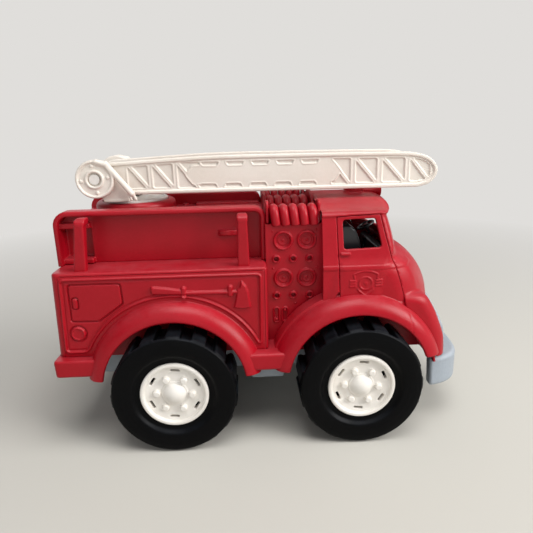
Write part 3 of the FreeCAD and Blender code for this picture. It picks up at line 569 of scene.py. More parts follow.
def arch_moulding(x, y, z, axle_x, inner_y, side_y=BODY_HALF - 0.1):
    """Quarter-round moulding over a wheel, with a small fillet against the body side."""
    out = np.abs(y)
    radius = from_axle(x, z, axle_x)
    reach = FENDER - ARCH
    depth = LIP_Y - BODY_HALF
    up, outward = np.maximum(radius - ARCH, 0.0) / reach, np.maximum(out - BODY_HALF, 0.0) / depth
    swept = (np.hypot(up, outward) - 1) * 10.2
    ring = crossed(swept, ARCH - radius, 1.1)
    ring = cut(ring, swept + 2.8, 0.5)
    ring = crossed(ring, inner_y - out)
    flange = crossed(band(out, inner_y, side_y), band(radius, 50.0, FENDER + 1.6))
    return merged(ring, flange, 1.2)


WELL_Y = 33.0
WELL_Z = 44.6


def arch_liner(x, y, z, axle_x):
    """Thin curved wall over the wheel and the flat inner wall that closes the wheel well."""
    side = np.abs(y)
    around = from_axle(x, z, axle_x)
    over = crossed(band(around, 51.4, 53.0), band(side, WELL_Y, BODY_HALF - 1.0))
    inner = crossed(crossed(around - 53.0, band(side, WELL_Y, WELL_Y + 1.4)), WELL_Z - z)
    return merged(over, inner)


def rear_fender(x, y, z):
    """Arch over the rear wheel with its wheel well."""
    ring = arch_moulding(x, y, z, REAR_X, BODY_HALF - 2.6)
    ring = merged(ring, arch_liner(x, y, z, REAR_X), 0.4)
    return crossed(ring, WELL_Z - z, 0.8)


def running_board(x, y, z):
    """Hollow board between the wheels."""
    out = -y
    half = float(step_high[1]) + 1.0
    board = block(x, out, z, (-14, 45.5, STEP_BOTTOM), (14, half, STEP_TOP), 1.8)
    for axle_x in (REAR_X, FRONT_X):
        board = cut(board, from_axle(x, z, axle_x) - UNDER_FENDER, 0.3)
    hollow = block(x, out, z, (-30, 48.5, 0), (30, half - 2.6, STEP_TOP - 2.6), 1.0)
    return cut(board, hollow, 0.4)


make_piece(
    "rear_body_shell",
    skin(rear_body, (step_low[0], -BODY_HALF, STEP_TOP), (body_high[0], BODY_HALF, SHELF_Z), 0.8),
    *RED_BODY, ["rear_body"],
)
make_piece("tail_step", skin(rear_step, step_low, step_high, 0.7), *RED_BODY, ["rear_step"])
make_pair(
    "wheel_arch_rear",
    skin(rear_fender, fender_low - (2, 0, 0), (fender_high[0] + 2, -29.0, fender_high[2] + 2), 0.68),
    *RED_BODY, ["rear_fender"],
)
make_pair(
    "side_board",
    skin(running_board, (-14, -70.2, STEP_BOTTOM), (14, -45, STEP_TOP), 0.5),
    *RED_BODY, ["running_board"],
)


# ---------------------------------------------------------------- side panels with their raised details
def relief_plate(heights, area, x_range, z_range, step, face_y, depth, shear=None):
    """Plate on the right side whose outer face carries the heights; cells outside the area are left out.

    Each cell on the rim has a short wall from front to back. It stands across the rim, which stays open.
    """
    xs = np.linspace(*x_range, int(round((x_range[1] - x_range[0]) / step)) + 1)
    zs = np.linspace(*z_range, int(round((z_range[1] - z_range[0]) / step)) + 1)
    x, z = np.meshgrid(xs, zs, indexing="ij")
    if shear:
        x = x + shear(x, z)
    height = heights(x, z)
    middle_x, middle_z = (x[1:, 1:] + x[:-1, :-1]) / 2, (z[1:, 1:] + z[:-1, :-1]) / 2
    kept = area(middle_x, middle_z)
    number = np.arange(x.size).reshape(x.shape)
    a, b, c, d = number[:-1, :-1], number[1:, :-1], number[1:, 1:], number[:-1, 1:]
    front = np.stack([a[kept], b[kept], c[kept], d[kept]], 1)
    back = front[:, ::-1] + x.size
    wide = np.pad(kept, 1)
    walls = []
    for away, p, q in (((0, 1), a, b), ((1, 2), b, c), ((2, 1), c, d), ((1, 0), d, a)):
        neighbour = wide[away[0] : away[0] + kept.shape[0], away[1] : away[1] + kept.shape[1]]
        edge = kept & ~neighbour
        walls.append(np.stack([q[edge], p[edge], p[edge] + x.size, q[edge] + x.size], 1))
    outer = np.stack([x, -(face_y + height), z], -1).reshape(-1, 3)
    inner = np.stack([x, np.full_like(x, depth - face_y), z], -1).reshape(-1, 3)
    points = np.vstack([outer, inner])
    faces = np.vstack([front, back] + walls)
    used, places = np.unique(faces, return_inverse=True)
    return points[used], places.reshape(faces.shape)


def ridge(distance, width):
    """Half-round line of unit height along distance = 0."""
    return np.sqrt(np.maximum(1.0 - np.square(distance / (width / 2)), 0.0))


def raised(distance, height, edge=0.6):
    """Plateau inside an outline, with a rounded edge."""
    t = np.clip(-distance / edge, 0.0, 1.0)
    return height * np.sqrt(1.0 - np.square(1.0 - t))


PANEL_FRAME = outline([(-127.0, 62.2), (-125.2, 110.2), (-4.0, 110.0), (-4.6, 62.2)], 3.0)
LOCKER = outline([(-120.8, 82.8), (-120.4, 106.4), (-89.4, 106.2), (-88.8, 93.4), (-104.2, 82.6)], 1.6)
AXE_BLADE = outline(
    [(-21.6, 88.6), (-16.3, 87.6), (-11.0, 88.4), (-11.6, 93.4), (-12.2, 98.6), (-13.6, 102.4)]
    + [(-16.4, 106.0), (-17.6, 101.4), (-19.2, 100.2), (-19.6, 96.8), (-20.4, 92.8)],
    [0.4, 3.0, 0.4, 1.5, 2.0, 2.0, 0.3, 1.2, 0.6, 0.8, 2.0],
)
AXE_HANDLE = outline([(-54.0, 97.8), (-54.0, 100.4), (-17.0, 99.8), (-17.0, 97.4)], 0.5)
AXE_BUTT = outline(
    [(-71.0, 99.0), (-71.4, 104.2), (-62.0, 103.0), (-52.6, 101.4), (-52.6, 97.6)], [1.2, 1.4, 4.0, 0.5, 0.5]
)
LATCH = rectangle((-118.6, 91.4), (-115.8, 97.8), 0.8)
CLIPS = [rectangle((x, 95.8), (x + 3.2, 103.2), 1.4) for x in (-53.1, -24.9)]


def side_panel_height(x, z):
    """Raised frame line, locker door, filler cap and axe."""
    arch = from_axle(x, z, REAR_X)
    frame_line = crossed(PANEL_FRAME(x, z), 57.8 - arch, 3.0)
    height = 0.05 + 1.0 * ridge(frame_line + 0.6, 1.5) - 0.35 * ridge(frame_line + 2.0, 1.3)
    height = height - 1.3 * ridge(LOCKER(x, z), 1.1) + 0.12 * ramp(-LOCKER(x, z) - 0.6, 0.6)
    height = height + raised(LATCH(x, z), 0.7) - 1.1 * ridge(LATCH(x, z) - 0.35, 0.9)
    cap = np.hypot(x + 117.6, z - 75.0)
    height = height + raised(cap - 4.3, 0.5) + 0.5 * ridge(cap - 3.7, 1.2) - 1.0 * ridge(cap - 5.0, 1.0)
    axe = raised(AXE_HANDLE(x, z), 1.7, 1.1)
    axe = np.maximum(axe, raised(AXE_BUTT(x, z), 1.9, 1.2))
    axe = np.maximum(axe, raised(AXE_BLADE(x, z), 1.9, 0.9))
    for clip in CLIPS:
        axe = np.maximum(axe, raised(clip(x, z), 2.1, 0.9))
    return height + axe


def panel_shear(x, z):
    """The rear edge of the panel leans with the tail."""
    return (tail_x(z) - TAIL_X) * ramp(-80.0 - x, 80.0)


def side_panel_area(x, z):
    """The panel ends under the moulding of the wheel arch."""
    return from_axle(x, z, REAR_X) > FENDER - 1.2


make_pair(
    "locker_panel",
    relief_plate(
        side_panel_height, side_panel_area,
        (TAIL_X + 4.5, body_high[0] - 2.0), (STEP_TOP + 0.2, SHELF_Z - 2.0),
        0.34, BODY_HALF, PANEL_DEPTH, panel_shear,
    ),
    *RED_BODY, [],
)


# ---------------------------------------------------------------- upper box
WALL = rectangle((wall_low[0], 90.0), (wall_high[0], wall_high[2]), [0.0, 9.0, 7.0, 0.0])
BAY_REAR = float(wall_low[0]) + 3.2
BAY = rectangle((BAY_REAR, 114.4), (-110.2, 136.2), 0.8)


def side_wall(x, y, z):
    """Wall of the upper box: rim round a thin panel, a ribbed bay at the tail and a small ledge."""
    out = -y
    rim = WALL(x, z)
    slab = crossed(rim, band(out, 34.5, float(-wall_low[1])), 1.5)
    recess = crossed(rim + 3.2, 37.0 - out, 0.8)
    solid = cut(slab, recess, 1.0)
    bay_back = block(x, out, z, (BAY_REAR - 2.4, 29.5, SHELF_Z), (-108.0, 35.5, 136.5), 0.3)
    solid = merged(solid, bay_back)
    solid = cut(solid, crossed(BAY(x, z), 31.5 - out, 0.5), 0.5)
    for low, high, inner in ((113.9, 117.2, 31.0), (136.5, 140.0, 36.0)):
        solid = merged(solid, block(x, out, z, (-128.0, inner, low), (-109.6, 41.5, high), 0.7), 0.5)
    ledge = crossed(np.hypot(x + 23.5, 1.6 * (out - 36.4)) - 6.7, band(z, 129.0, 132.4), 0.5)
    solid = merged(solid, ledge, 0.4)
    return crossed(solid, SHELF_Z - 0.1 - z, 0.2)


make_pair(
    "ladder_box_wall",
    skin(side_wall, wall_low, (wall_high[0], -29.0, wall_high[2]), 0.55),
    *RED_BODY, ["side_wall"],
)


HOOK_TOP = 145.0


def hooked_post(foot, top):
    """Tapered post on the shelf, hooked inwards; foot and top give its rear and front edges."""

    def post(x, y, z):
        out = -y
        up = (z - SHELF_Z) / (HOOK_TOP - SHELF_Z)
        rear, front = (foot[i] + (top[i] - foot[i]) * up for i in (0, 1))
        face = 58.0 + 1.4 * up
        ends = np.maximum(rear - x, x - front)
        upright = crossed(crossed(ends, band(out, 54.0, 58.0) - (face - 58.0), 0.9), z - HOOK_TOP, 0.9)
        hook = crossed(crossed(ends, band(out, 48.5, 58.6), 0.9), band(z, HOOK_TOP - 3.6, HOOK_TOP), 0.9)
        solid = merged(upright, hook, 1.5)
        shoulder = np.hypot(out - 56.0, z - (HOOK_TOP - 3.5)) - 3.5
        shoulder = np.where((out > 56.0) & (z > HOOK_TOP - 3.5), shoulder, -5.0)
        return crossed(crossed(solid, shoulder, 0.6), SHELF_Z - 1.0 - z)

    return post


# the foot and the top of each post, as x of the rear edge and of the front edge
for node, foot, top in (
    ("rear_ladder_bracket", (-117.0, -109.4), (-112.6, -107.2)),
    ("front_ladder_bracket", (-18.2, -10.8), (-17.4, -11.8)),
):
    front = max(foot[1], top[1])
    make_pair(
        node.replace("bracket", "hook"),
        skin(hooked_post(foot, top), (foot[0], -60.0, SHELF_Z - 1), (front, -48.5, HOOK_TOP), 0.45),
        *RED_BODY, [node],
    )


def deck(x, y, z):
    """Floor between the side walls, closed at both ends, with the collar of the turntable."""
    side = np.abs(y)
    plate = block(x, side, z, (deck_low[0], -34.6, 136.5), (0.0, 34.6, 139.0), 0.3)
    rear_end = block(x, side, z, (deck_low[0], -29.6, SHELF_Z), (deck_low[0] + 2.5, 29.6, 139.0), 0.4)
    front_end = block(x, side, z, (-2.5, -34.5, SHELF_Z), (0.0, 34.5, 139.0), 0.4)
    solid = merged(merged(plate, rear_end, 0.8), front_end, 0.8)
    spread = np.hypot(x - TURN_X, y)
    collar = crossed(spread - 27.0, z - 148.9, 3.2)
    collar = crossed(collar, 137.0 - z)
    solid = merged(solid, collar, 1.0)
    strip = block(x, side, z, (-49.6, 25.0, 138.0), (-1.7, 34.4, 141.0), 0.6)
    boss = rod(x, side, z, (-57.8, 31.0), 2.4, 138.0, 140.4, 0.5)
    solid = merged(merged(solid, strip, 0.5), boss, 0.4)
    recess = crossed(spread - 22.2, 146.9 - z, 0.2)
    bore = spread - 12.4
    return cut(cut(solid, recess, 0.4), bore, 0.2)


make_piece(
    "ladder_deck",
    skin(deck, (deck_low[0], -34.6, SHELF_Z), (0.0, 34.6, deck_high[2]), 0.7),
    *RED_BODY, ["deck"],
)


# ---------------------------------------------------------------- pump panel and hoses
PANEL_FACE = 48.0
GAUGES = [(x, z) for x in (10.45, 25.35) for z in (102.0, 126.6)]
PORTS = [(x, z) for x in (6.0, 16.6, 27.1) for z in (90.6, 114.8)]
LEVERS = [(5.6, 73.8), (11.2, 80.4)]
SLOTS = [rectangle((x - 2.2, 71.7), (x + 2.2, 82.5), 2.15) for x, z in LEVERS]
STUDS = [(4.0, 132.6), (31.0, 133.0), (4.0, 108.6), (31.6, 108.4), (18.0, 84.6), (31.4, 84.8)]


def pump_panel_height(x, z):
    """Gauges, hose ports, lever slots and studs."""
    height = np.zeros(x.shape)
    for at_x, at_z in GAUGES:
        radius = np.hypot(x - at_x, z - at_z)
        height = height + 1.7 * ridge(radius - 5.4, 1.7) - 0.9 * ramp(4.5 - radius, 0.7)
        height = height + 0.5 * ridge(radius, 1.9) + 0.3 * ridge(radius - 2.9, 0.8)
    for at_x, at_z in PORTS:
        radius = np.hypot(x - at_x, z - at_z)
        height = height + raised(radius - 2.6, 1.9, 0.7) - 3.6 * ramp(1.5 - radius, 0.5)
    for slot, (at_x, at_z) in zip(SLOTS, LEVERS):
        edge = slot(x, z)
        height = height + 1.0 * ridge(edge + 0.4, 1.0) - 1.0 * ramp(-edge - 0.9, 0.5)
        height = height + raised(np.hypot(x - at_x, z - at_z) - 1.15, 2.1, 0.6)
    for at_x, at_z in STUDS:
        height = height + 0.5 * ridge(np.hypot(x - at_x, z - at_z), 1.3)
    return height


make_pair(
    "pump_panel_plate",
    relief_plate(
        pump_panel_height, lambda x, z: x > -1.0,
        (-0.6, cab_low[0] + 1.6), (STEP_TOP - 3.0, 137.0), 0.26, PANEL_FACE, 3.0,
    ),
    *RED_BODY, ["pump_panel"],
)


def tube(path, radius, sides=20):
    """Closed round tube along the points of a path, with flat ends."""
    path = np.array(path, float)
    ahead = np.gradient(path, axis=0)
    ahead /= np.linalg.norm(ahead, axis=1, keepdims=True)
    sideways = np.cross(ahead, (1.0, 0.0, 0.0))
    sideways /= np.linalg.norm(sideways, axis=1, keepdims=True)
    other = np.cross(ahead, sideways)
    angles = np.linspace(0, 2 * math.pi, sides, endpoint=False)
    ring = np.cos(angles)[None, :, None] * sideways[:, None] + np.sin(angles)[None, :, None] * other[:, None]
    points = (path[:, None] + radius * ring).reshape(-1, 3)
    faces = []
    for i in range(len(path) - 1):
        for k in range(sides):
            n = (k + 1) % sides
            faces.append((i * sides + k, (i + 1) * sides + k, (i + 1) * sides + n, i * sides + n))
    caps = [tuple(range(sides)), tuple(range(len(points) - 1, len(points) - sides - 1, -1))]
    return points, faces + caps


HOSE_RADIUS = 2.9
HOSE_LINE = [(48.4, 136.2), (48.3, 139.6), (47.9, 142.8), (46.4, 145.3), (43.8, 146.2), (41.2, 145.2)]
HOSE_LINE += [(39.6, 142.6), (38.6, 139.2), (35.6, 137.2), (29.0, 136.6), (19.0, 136.6), (12.4, 137.6)]
HOSE_LINE += [(10.2, 140.6), (8.8, 143.4), (6.0, 145.2), (2.6, 145.8), (0.0, 145.8)]
HOSE_FIRST_X, HOSE_PITCH = 5.0, 5.95


def hose_line(offset):
    """Centre line of one hose, from side to side in waves; its ends hang over the edge, leaning forward."""
    whole = both_sides(curve_through(HOSE_LINE, 4))
    return [(offset + 0.14 * (147.0 - z) * (abs(y) > 44), y, z) for y, z in whole]


def hose_bundle():
    """Five hoses side by side, each a closed tube."""
    points, faces = [], []
    for k in range(5):
        tube_points, tube_faces = tube(hose_line(HOSE_FIRST_X + HOSE_PITCH * k), HOSE_RADIUS)
        faces += [[n + len(points) for n in face] for face in tube_faces]
        points += tube_points.tolist()
    return points, faces


make_piece("hose_bundle", hose_bundle(), *RED_BODY, ["folded_hoses"])

FIN_TOP = [(46.8, 137.2), (46.8, 146.5), (46.0, 149.6), (43.0, 151.2), (39.5, 150.6), (33.0, 147.0)]
FIN_TOP += [(26.0, 144.6), (19.0, 147.0), (12.0, 150.4), (6.0, 151.6), (0.0, 151.8)]
FIN = outline(both_sides([(45.0, 128.0), (45.0, 137.2)] + curve_through(FIN_TOP, 4)))


def hose_bed(x, y, z):
    """Tray under the hoses with a wavy fin at each end."""
    floor = block(x, y, z, (0.0, -45.0, 130.0), (34.3, 45.0, 133.0), 0.3)
    for x0 in (0.1, 32.4):
        floor = merged(floor, crossed(FIN(y, z), band(x, x0, x0 + 1.8), 0.7), 0.4)
    return floor


make_piece(
    "hose_tray",
    skin(hose_bed, (0.0, -46.8, 130.0), (34.3, 46.8, 152.0), 0.5),
    *RED_BODY, ["hose_bed"],
)


# ---------------------------------------------------------------- cab
CAB_HALF = float(cab_high[1])
CROWN = [(y, 149.0 - y * y / 400.0) for y in (-44.0, -33.0, -22.0, -11.0, 0.0, 11.0, 22.0, 33.0, 44.0)]
SECTION_SIDE = [(CAB_HALF, 30.0), (CAB_HALF, 90.0), (60.4, 110.8)]
SECTION_SIDE += [(58.6, 117.5), (54.0, 139.5), (53.2, 143.4)]
CAB_SECTION = outline(
    [(-y, z) for y, z in SECTION_SIDE] + CROWN + SECTION_SIDE[::-1],
    [0, 0, 3.0, 4.0, 6.0, 3.2] + [0] * len(CROWN) + [3.2, 6.0, 4.0, 3.0, 0, 0],
)
BROW = curve_through(
    [(72.0, 152.0), (76.4, 150.9), (79.8, 149.0), (82.4, 146.4), (83.7, 144.0), (83.2, 142.0)]
    + [(82.0, 140.9)],
    4,
)
CAB_PROFILE = outline(
    [(cab_low[0], 30.0), (cab_low[0], 152.0)] + BROW + [(82.8, 139.4), (85.6, 131.4), (88.3, 122.0)]
    + [(88.4, 118.0), (84.0, 110.0), (80.0, 100.0), (80.0, 30.0)],
    [0, 0] + [0] * len(BROW) + [0, 0, 2.0, 2.0, 4.0, 4.0, 0],
)
NOSE_LINE = curve_through(
    [(84.0, 116.4), (88.0, 116.2), (92.4, 115.2), (97.2, 112.8), (102.2, 109.0), (107.0, 103.8)]
    + [(110.8, 98.2), (113.6, 92.2), (115.5, 85.6), (116.7, 78.8), (117.2, 72.0), (117.4, 62.0)],
    3,
)
NOSE_PROFILE = outline([(60.0, 30.0), (60.0, 116.4)] + NOSE_LINE + [(117.4, 30.0)])
POD_LINE = curve_through(
    [(88.0, 92.6), (94.0, 92.2), (99.0, 90.9), (102.9, 88.2), (107.6, 80.5), (111.5, 71.7)]
    + [(113.8, 65.5), (115.2, 60.0), (115.8, 52.0)],
    3,
)
POD_PROFILE = outline([(70.0, 30.0), (70.0, 92.6)] + POD_LINE + [(115.8, 30.0)])
DOOR_LINE = [(69.6, 144.0), (73.3, 128.2), (76.3, 117.6), (79.1, 111.4), (82.0, 102.5)]
DOOR_LINE += [(85.2, 91.3), (86.3, 82.8), (86.9, 76.0), (87.0, 30.0)]
DOOR = outline([(45.6, 30.0), (44.7, 84.0), (43.0, 141.2), (69.9, 142.5)] + DOOR_LINE[1:])
WINDOW = outline([(47.2, 121.5), (46.7, 139.4), (67.0, 139.9), (71.0, 122.2)], 1.8)
WINDSCREEN = outline([(2.4, 123.0), (2.4, 136.4), (39.0, 135.4), (43.6, 123.0)], 2.4)
NOSE_REGION = outline(DOOR_LINE[2:] + [(140.0, 30.0), (140.0, 118.0), (76.1, 118.0)])

SHIELD = [(52.6, 106.6), (56.4, 108.2), (60.2, 108.7), (64.0, 108.2), (67.8, 106.6)]
SHIELD += [(66.4, 101.0), (64.6, 96.4), (60.2, 92.6), (55.8, 96.4), (54.0, 101.0)]
BADGE_SHIELD = outline(SHIELD, [0.8, 3.0, 4.0, 3.0, 0.8, 3.0, 3.0, 2.0, 3.0, 3.0])
BADGE_X, BADGE_Z = 60.2, 100.8
HANDLE = rectangle((44.6, 118.2), (51.0, 120.0), 0.85)


def badge_height(x, z):
    """Plain shield with a ring in the middle and a short bar each side."""
    ring = np.hypot(x - BADGE_X, z - BADGE_Z)
    gap = ramp(ring - 5.2, 0.8)
    height = ridge(BADGE_SHIELD(x, z), 1.2) * gap * ramp(np.abs(z - BADGE_Z) - 3.0, 0.8)
    height = np.maximum(height, ridge(ring - 4.0, 1.3))
    height = np.maximum(height, ridge(ring, 2.6) * 0.8)
    for level in (-1.7, 0.0, 1.7):
        bar = np.maximum(np.abs(np.abs(x - BADGE_X) - 8.8) - 2.6, np.abs(z - BADGE_Z - level) - 0.45)
        height = np.maximum(height, ramp(0.2 - bar, 0.6))
    return 0.6 * height


BADGE = tabled(badge_height, (50.0, 90.0), (71.0, 111.0), 0.15)


def bow(side, radius):
    """How far a front with this plan radius has curved back at that distance from the middle."""
    return radius - np.sqrt(np.maximum(radius * radius - np.square(side), 1.0))


def cab_skin(x, y, z):
    """Outside of the whole cab: greenhouse, rounded cowl and lamp pods, before it is hollowed."""
    side = np.abs(y)
    section = CAB_SECTION(y, z)
    drip = 0.8 * ramp(z - (141.4 + 0.03 * (x - 35.0)), 0.7)
    house = crossed(CAB_PROFILE(x + bow(side, 165.0), z), section, 3.0) - drip
    fullness = ramp(z - 104.0, 34.0)
    curve = bow(side, 88.0) * (1.0 - fullness) + bow(side, 118.0) * fullness
    cowl = crossed(NOSE_PROFILE(x + curve, z), section, 9.0)
    whole = merged(house, cowl, 4.0)
    pod = crossed(POD_PROFILE(x + 0.016 * np.square(side - 49.0), z), side - 62.2, 6.0)
    pod = crossed(pod, 36.6 - side, 8.0)
    pod = crossed(pod, 85.6 - x, 0.6)
    whole = merged(whole, pod, 1.2)
    fade = ramp(94.0 - x, 5.0) * ramp(side - 40.0, 4.0)
    belt = 0.45 * fade * (ramp(z - 109.3, 0.7) - ramp(z - 112.0, 0.7))
    return whole - belt


def cab_solid(x, y, z):
    """Hollow cab moulding with its openings and the front wheel arches."""
    side = np.abs(y)
    outer = cab_skin(x, y, z)
    shell = cut(outer, outer + SKIN)
    shell = cut(shell, crossed(WINDOW(x, z), 30.0 - side), 0.7)
    pane = crossed(WINDSCREEN(side, z), 66.0 - x)
    shell = cut(shell, pane, 0.7)
    radius = from_axle(x, z, FRONT_X)
    shell = cut(shell, crossed(radius - (FENDER - 1.4), 30.0 - side), 0.3)
    shell = crossed(shell, np.where(x < 90.0, STEP_TOP, 49.0) - z)
    mouth = block(x, side, z, (100.0, -33.2, 40.0), (130.0, 33.2, 86.6), 3.0)
    return cut(shell, crossed(mouth, 100.0 - x), 0.8)


def front_arch(x, y, z):
    """Arch over the front wheel with its wheel well; a fine seam crosses it below the door's edge."""
    ring = arch_moulding(x, y, z, FRONT_X, 49.0, CAB_HALF - 0.2)
    ring = crossed(ring, np.where(x < FRONT_X, 47.0, 53.5) - z, 0.8)
    seam = 0.35 * swell((x - 87.4 - 0.10 * (82.0 - z)) / 0.6)
    return merged(ring + seam * (z > 70.0), crossed(arch_liner(x, y, z, FRONT_X), WELL_Z - z), 0.4)


LAMP_TILT = 0.36
LAMP_SIDE = 48.6


def lamp_axes(x, z):
    """Distance along the headlamp's axis and upwards across it; the lamp lies back with the pod."""
    along = (x - 111.6) * math.cos(LAMP_TILT) + (z - 70.0) * math.sin(LAMP_TILT)
    across = (z - 70.0) * math.cos(LAMP_TILT) - (x - 111.6) * math.sin(LAMP_TILT)
    return along, across


def lamp_socket(side, x, z):
    """Round recess for the headlamp."""
    along, across = lamp_axes(x, z)
    return rod(side, across, along, (LAMP_SIDE, 0.0), 7.9, -8.0, 12.0)


def nose(x, y, z):
    """Part of the cab in front of the door line, with the sockets of the headlamps."""
    side = np.abs(y)
    solid = crossed(cab_solid(x, y, z), NOSE_REGION(x, z) + 0.06, 0.2)
    return cut(solid, lamp_socket(side, x, z), 0.6)


def cab_body(x, y, z):
    """Rest of the cab, with the door openings."""
    solid = cut(cab_solid(x, y, z), NOSE_REGION(x, z) - 0.06, 0.2)
    door_gap = crossed(DOOR(x, z) - 0.1, 40.0 - np.abs(y))
    return cut(solid, door_gap, 0.35)


def door(x, y, z):
    """Right-hand door with its shield and handle."""
    solid = cab_solid(x, y, z) - BADGE(x, z) * (np.abs(x - 60.5) < 10.4) * (np.abs(z - 100.5) < 10.4)
    solid = merged(solid, crossed(crossed(HANDLE(x, z), cab_skin(x, y, z) - 1.5, 0.7), 50.0 + y), 0.3)
    solid = crossed(solid, DOOR(x, z) + 0.1, 0.35)
    return crossed(solid, 40.0 + y)


make_piece(
    "cab_body",
    skin(cab_body, (cab_low[0], -CAB_HALF, STEP_TOP), (92.0, CAB_HALF, 150.0), 0.72),
    *RED_BODY, ["cab_shell"],
)
make_piece(
    "cab_front",
    skin(nose, (74.0, -63.0, 49.0), (119.5, 63.0, 119.5), 0.72),
    *RED_BODY, ["cab_nose"],
)
make_pair(
    "cab_door", skin(door, (42.0, -CAB_HALF - 2, STEP_TOP), (88.0, -45.0, 143.5), 0.42), *RED_BODY, []
)
make_pair(
    "wheel_arch_front",
    skin(front_arch, (0.8, -72.2, 44.5), (118.4, -WELL_Y, 94.2), 0.72),
    *RED_BODY, ["front_fender"],
)


# ---------------------------------------------------------------- roof fittings
rest_low, rest_high = box_mm("ladder_rest")
REST_X = float(rest_low[0] + rest_high[0]) / 2


def ladder_rest(x, y, z):
    """Round post on the roof with a flared foot."""
    spread = np.hypot(x - REST_X, y)
    post = crossed(spread - 6.7, z - rest_high[2], 0.5)
    flare = crossed(spread - 6.7 - 4.2 * np.square(np.clip((151.2 - z) / 3.4, 0.0, 1.0)), z - 151.2)
    return crossed(merged(post, 0.75 * flare, 0.8), 146.6 - z)


def roof_horn(x, y, z):
    """Small horn on a foot, open to the front."""
    spread = np.hypot(y, z - 150.0)
    t = np.clip((x - 76.6) / 7.6, 0.0, 1.0)
    bell = crossed(0.8 * (spread - 2.0 - 2.3 * t * t), band(x, 71.4, 84.2), 0.4)
    bore = crossed(0.8 * (spread - 0.6 - 2.9 * np.square(np.clip((x - 77.6) / 6.6, 0.0, 1.0))), 78.4 - x)
    foot = block(x, y, z, (73.6, -1.6, 144.0), (79.0, 1.6, 149.4), 0.5)
    return cut(merged(bell, foot, 0.8), bore, 0.3)


make_piece(
    "ladder_cradle_post",
    skin(ladder_rest, (54.0, -11.0, 146.8), (76.0, 11.0, rest_high[2]), 0.4),
    *RED_BODY, ["ladder_rest"],
)
make_piece(
    "horn", skin(roof_horn, (71.4, -4.6, 145.0), (84.4, 4.6, 154.6), 0.3), *RED_BODY, ["roof_horn"]
)


TAIL_LAMP_SIDE = 52.0


def tail_lamp(x, y, z):
    """Two domes above each other on each side of the tail."""
    side = np.abs(y)
    solid = EMPTY
    for level in (92.0, 80.0):
        face = tail_x(level)
        dome = ball(x - (face + 4.2), side - TAIL_LAMP_SIDE, z - level, 5.6)
        base = rod(side, z, x, (TAIL_LAMP_SIDE, level), 5.2, face - 0.6, face + 1.0, 0.4)
        solid = merged(solid, merged(dome, base, 0.5))
    return crossed(solid, x - tail_x(86.0) - 1.0)


make_piece(
    "tail_lamps",
    skin(tail_lamp, (float(step_low[0]), -58.0, 74.0), (TAIL_X + 1.1, 58.0, 98.0), 0.4),
    *RED_BODY, ["tail_lights"],
)


# ---------------------------------------------------------------- lamps, grille, bumper
def headlamp(x, y, z):
    """Bezel round a ribbed lens."""
    side = np.abs(y)
    along, across = lamp_axes(x, z)
    bezel = rod(side, across, along, (LAMP_SIDE, 0.0), 7.6, -7.0, 0.4, 1.2)
    dish = rod(side, across, along, (LAMP_SIDE, 0.0), 6.0, -0.6, 6.0)
    lens = ball(along + 11.6, side - LAMP_SIDE, across, 12.0)
    ribs = 0.25 * (1 - np.abs(np.mod(across, 1.6) / 0.8 - 1.0))
    lens = crossed(lens + ribs, np.hypot(side - LAMP_SIDE, across) - 5.8, 0.3)
    return crossed(merged(cut(bezel, dish, 0.5), lens), -6.8 - along)


make_pair(
    "headlamp",
    skin(headlamp, (102.0, -56.4, 60.0), (115.6, -40.8, 80.0), 0.35),
    *GREY_PARTS, ["headlight"],
)

GRILLE = outline(
    [(104.0, 87.4), (108.6, 86.8), (112.4, 82.0), (117.0, 74.0), (122.0, 65.6), (125.4, 57.6)]
    + [(127.2, 47.0), (114.0, 47.0), (104.0, 70.0)],
    [0.8, 2.0, 4.0, 9.0, 9.0, 9.0, 1.0, 1.0, 2.0],
)


def grille(x, y, z):
    """Bowed block with five slots across it."""
    side = np.abs(y)
    body = crossed(GRILLE(x + bow(side, 170.0) * 0.5, z), side - 34.6, 1.4)
    for k in range(5):
        level = 58.0 + 5.0 * k
        bar_slot = block(x, side, z, (100.0, -28.5, level), (132.0, 28.5, level + 2.7), 0.9)
        body = cut(body, crossed(bar_slot, 119.0 - x - 0.45 * (z - 58.0)), 0.5)
    return body


make_piece(
    "front_grille",
    skin(grille, (103.5, -34.8, 46.8), (127.6, 34.8, 87.6), 0.5),
    *GREY_PARTS, ["grille"],
)

TONGUE_HALF = 12.0
TONGUE_X = 129.0
SPINE_FRONT_X = 96.5


def chassis(x, y, z):
    """Tray under the body: a spine with a wing each side, posts for the body and a tongue for the bumper."""
    side = np.abs(y)
    floor_z, rim_z = tray_low[2], STEP_BOTTOM - 0.1
    solid, hollow = EMPTY, EMPTY
    for rear, front, half in ((tray_low[0], SPINE_FRONT_X, SPINE_HALF), (-12.0, 10.0, tray_high[1] - 0.1)):
        solid = merged(solid, block(x, side, z, (rear, -99.0, floor_z), (front, half, rim_z), 1.2), 0.5)
        inside = block(x, side, z, (rear + 3, -99.0, floor_z + 2), (front - 3, half - 3, rim_z + 9), 1.0)
        hollow = merged(hollow, inside)
    solid = cut(solid, hollow, 0.5)
    tongue = block(x, side, z, (SPINE_FRONT_X - 3, -99.0, 33.5), (TONGUE_X, TONGUE_HALF, 37.5), 0.8)
    solid = merged(solid, tongue, 0.8)
    for post_x in (-108.0, -18.0):
        solid = merged(solid, rod(x, side, z, (post_x, 24.0), 4.0, floor_z + 1, SHELF_Z - 3.1, 0.5), 0.8)
    for axle_x in (REAR_X, FRONT_X):
        solid = cut(solid, from_axle(x, z, axle_x) - 4.2, 0.4)
    return solid


make_piece(
    "chassis_tray",
    skin(chassis, (tray_low[0], -tray_high[1], tray_low[2]), (TONGUE_X, tray_high[1], SHELF_Z - 3.0), 0.95),
    *GREY_PARTS, ["chassis"],
)


bumper_low, bumper_high = box_mm("bumper")


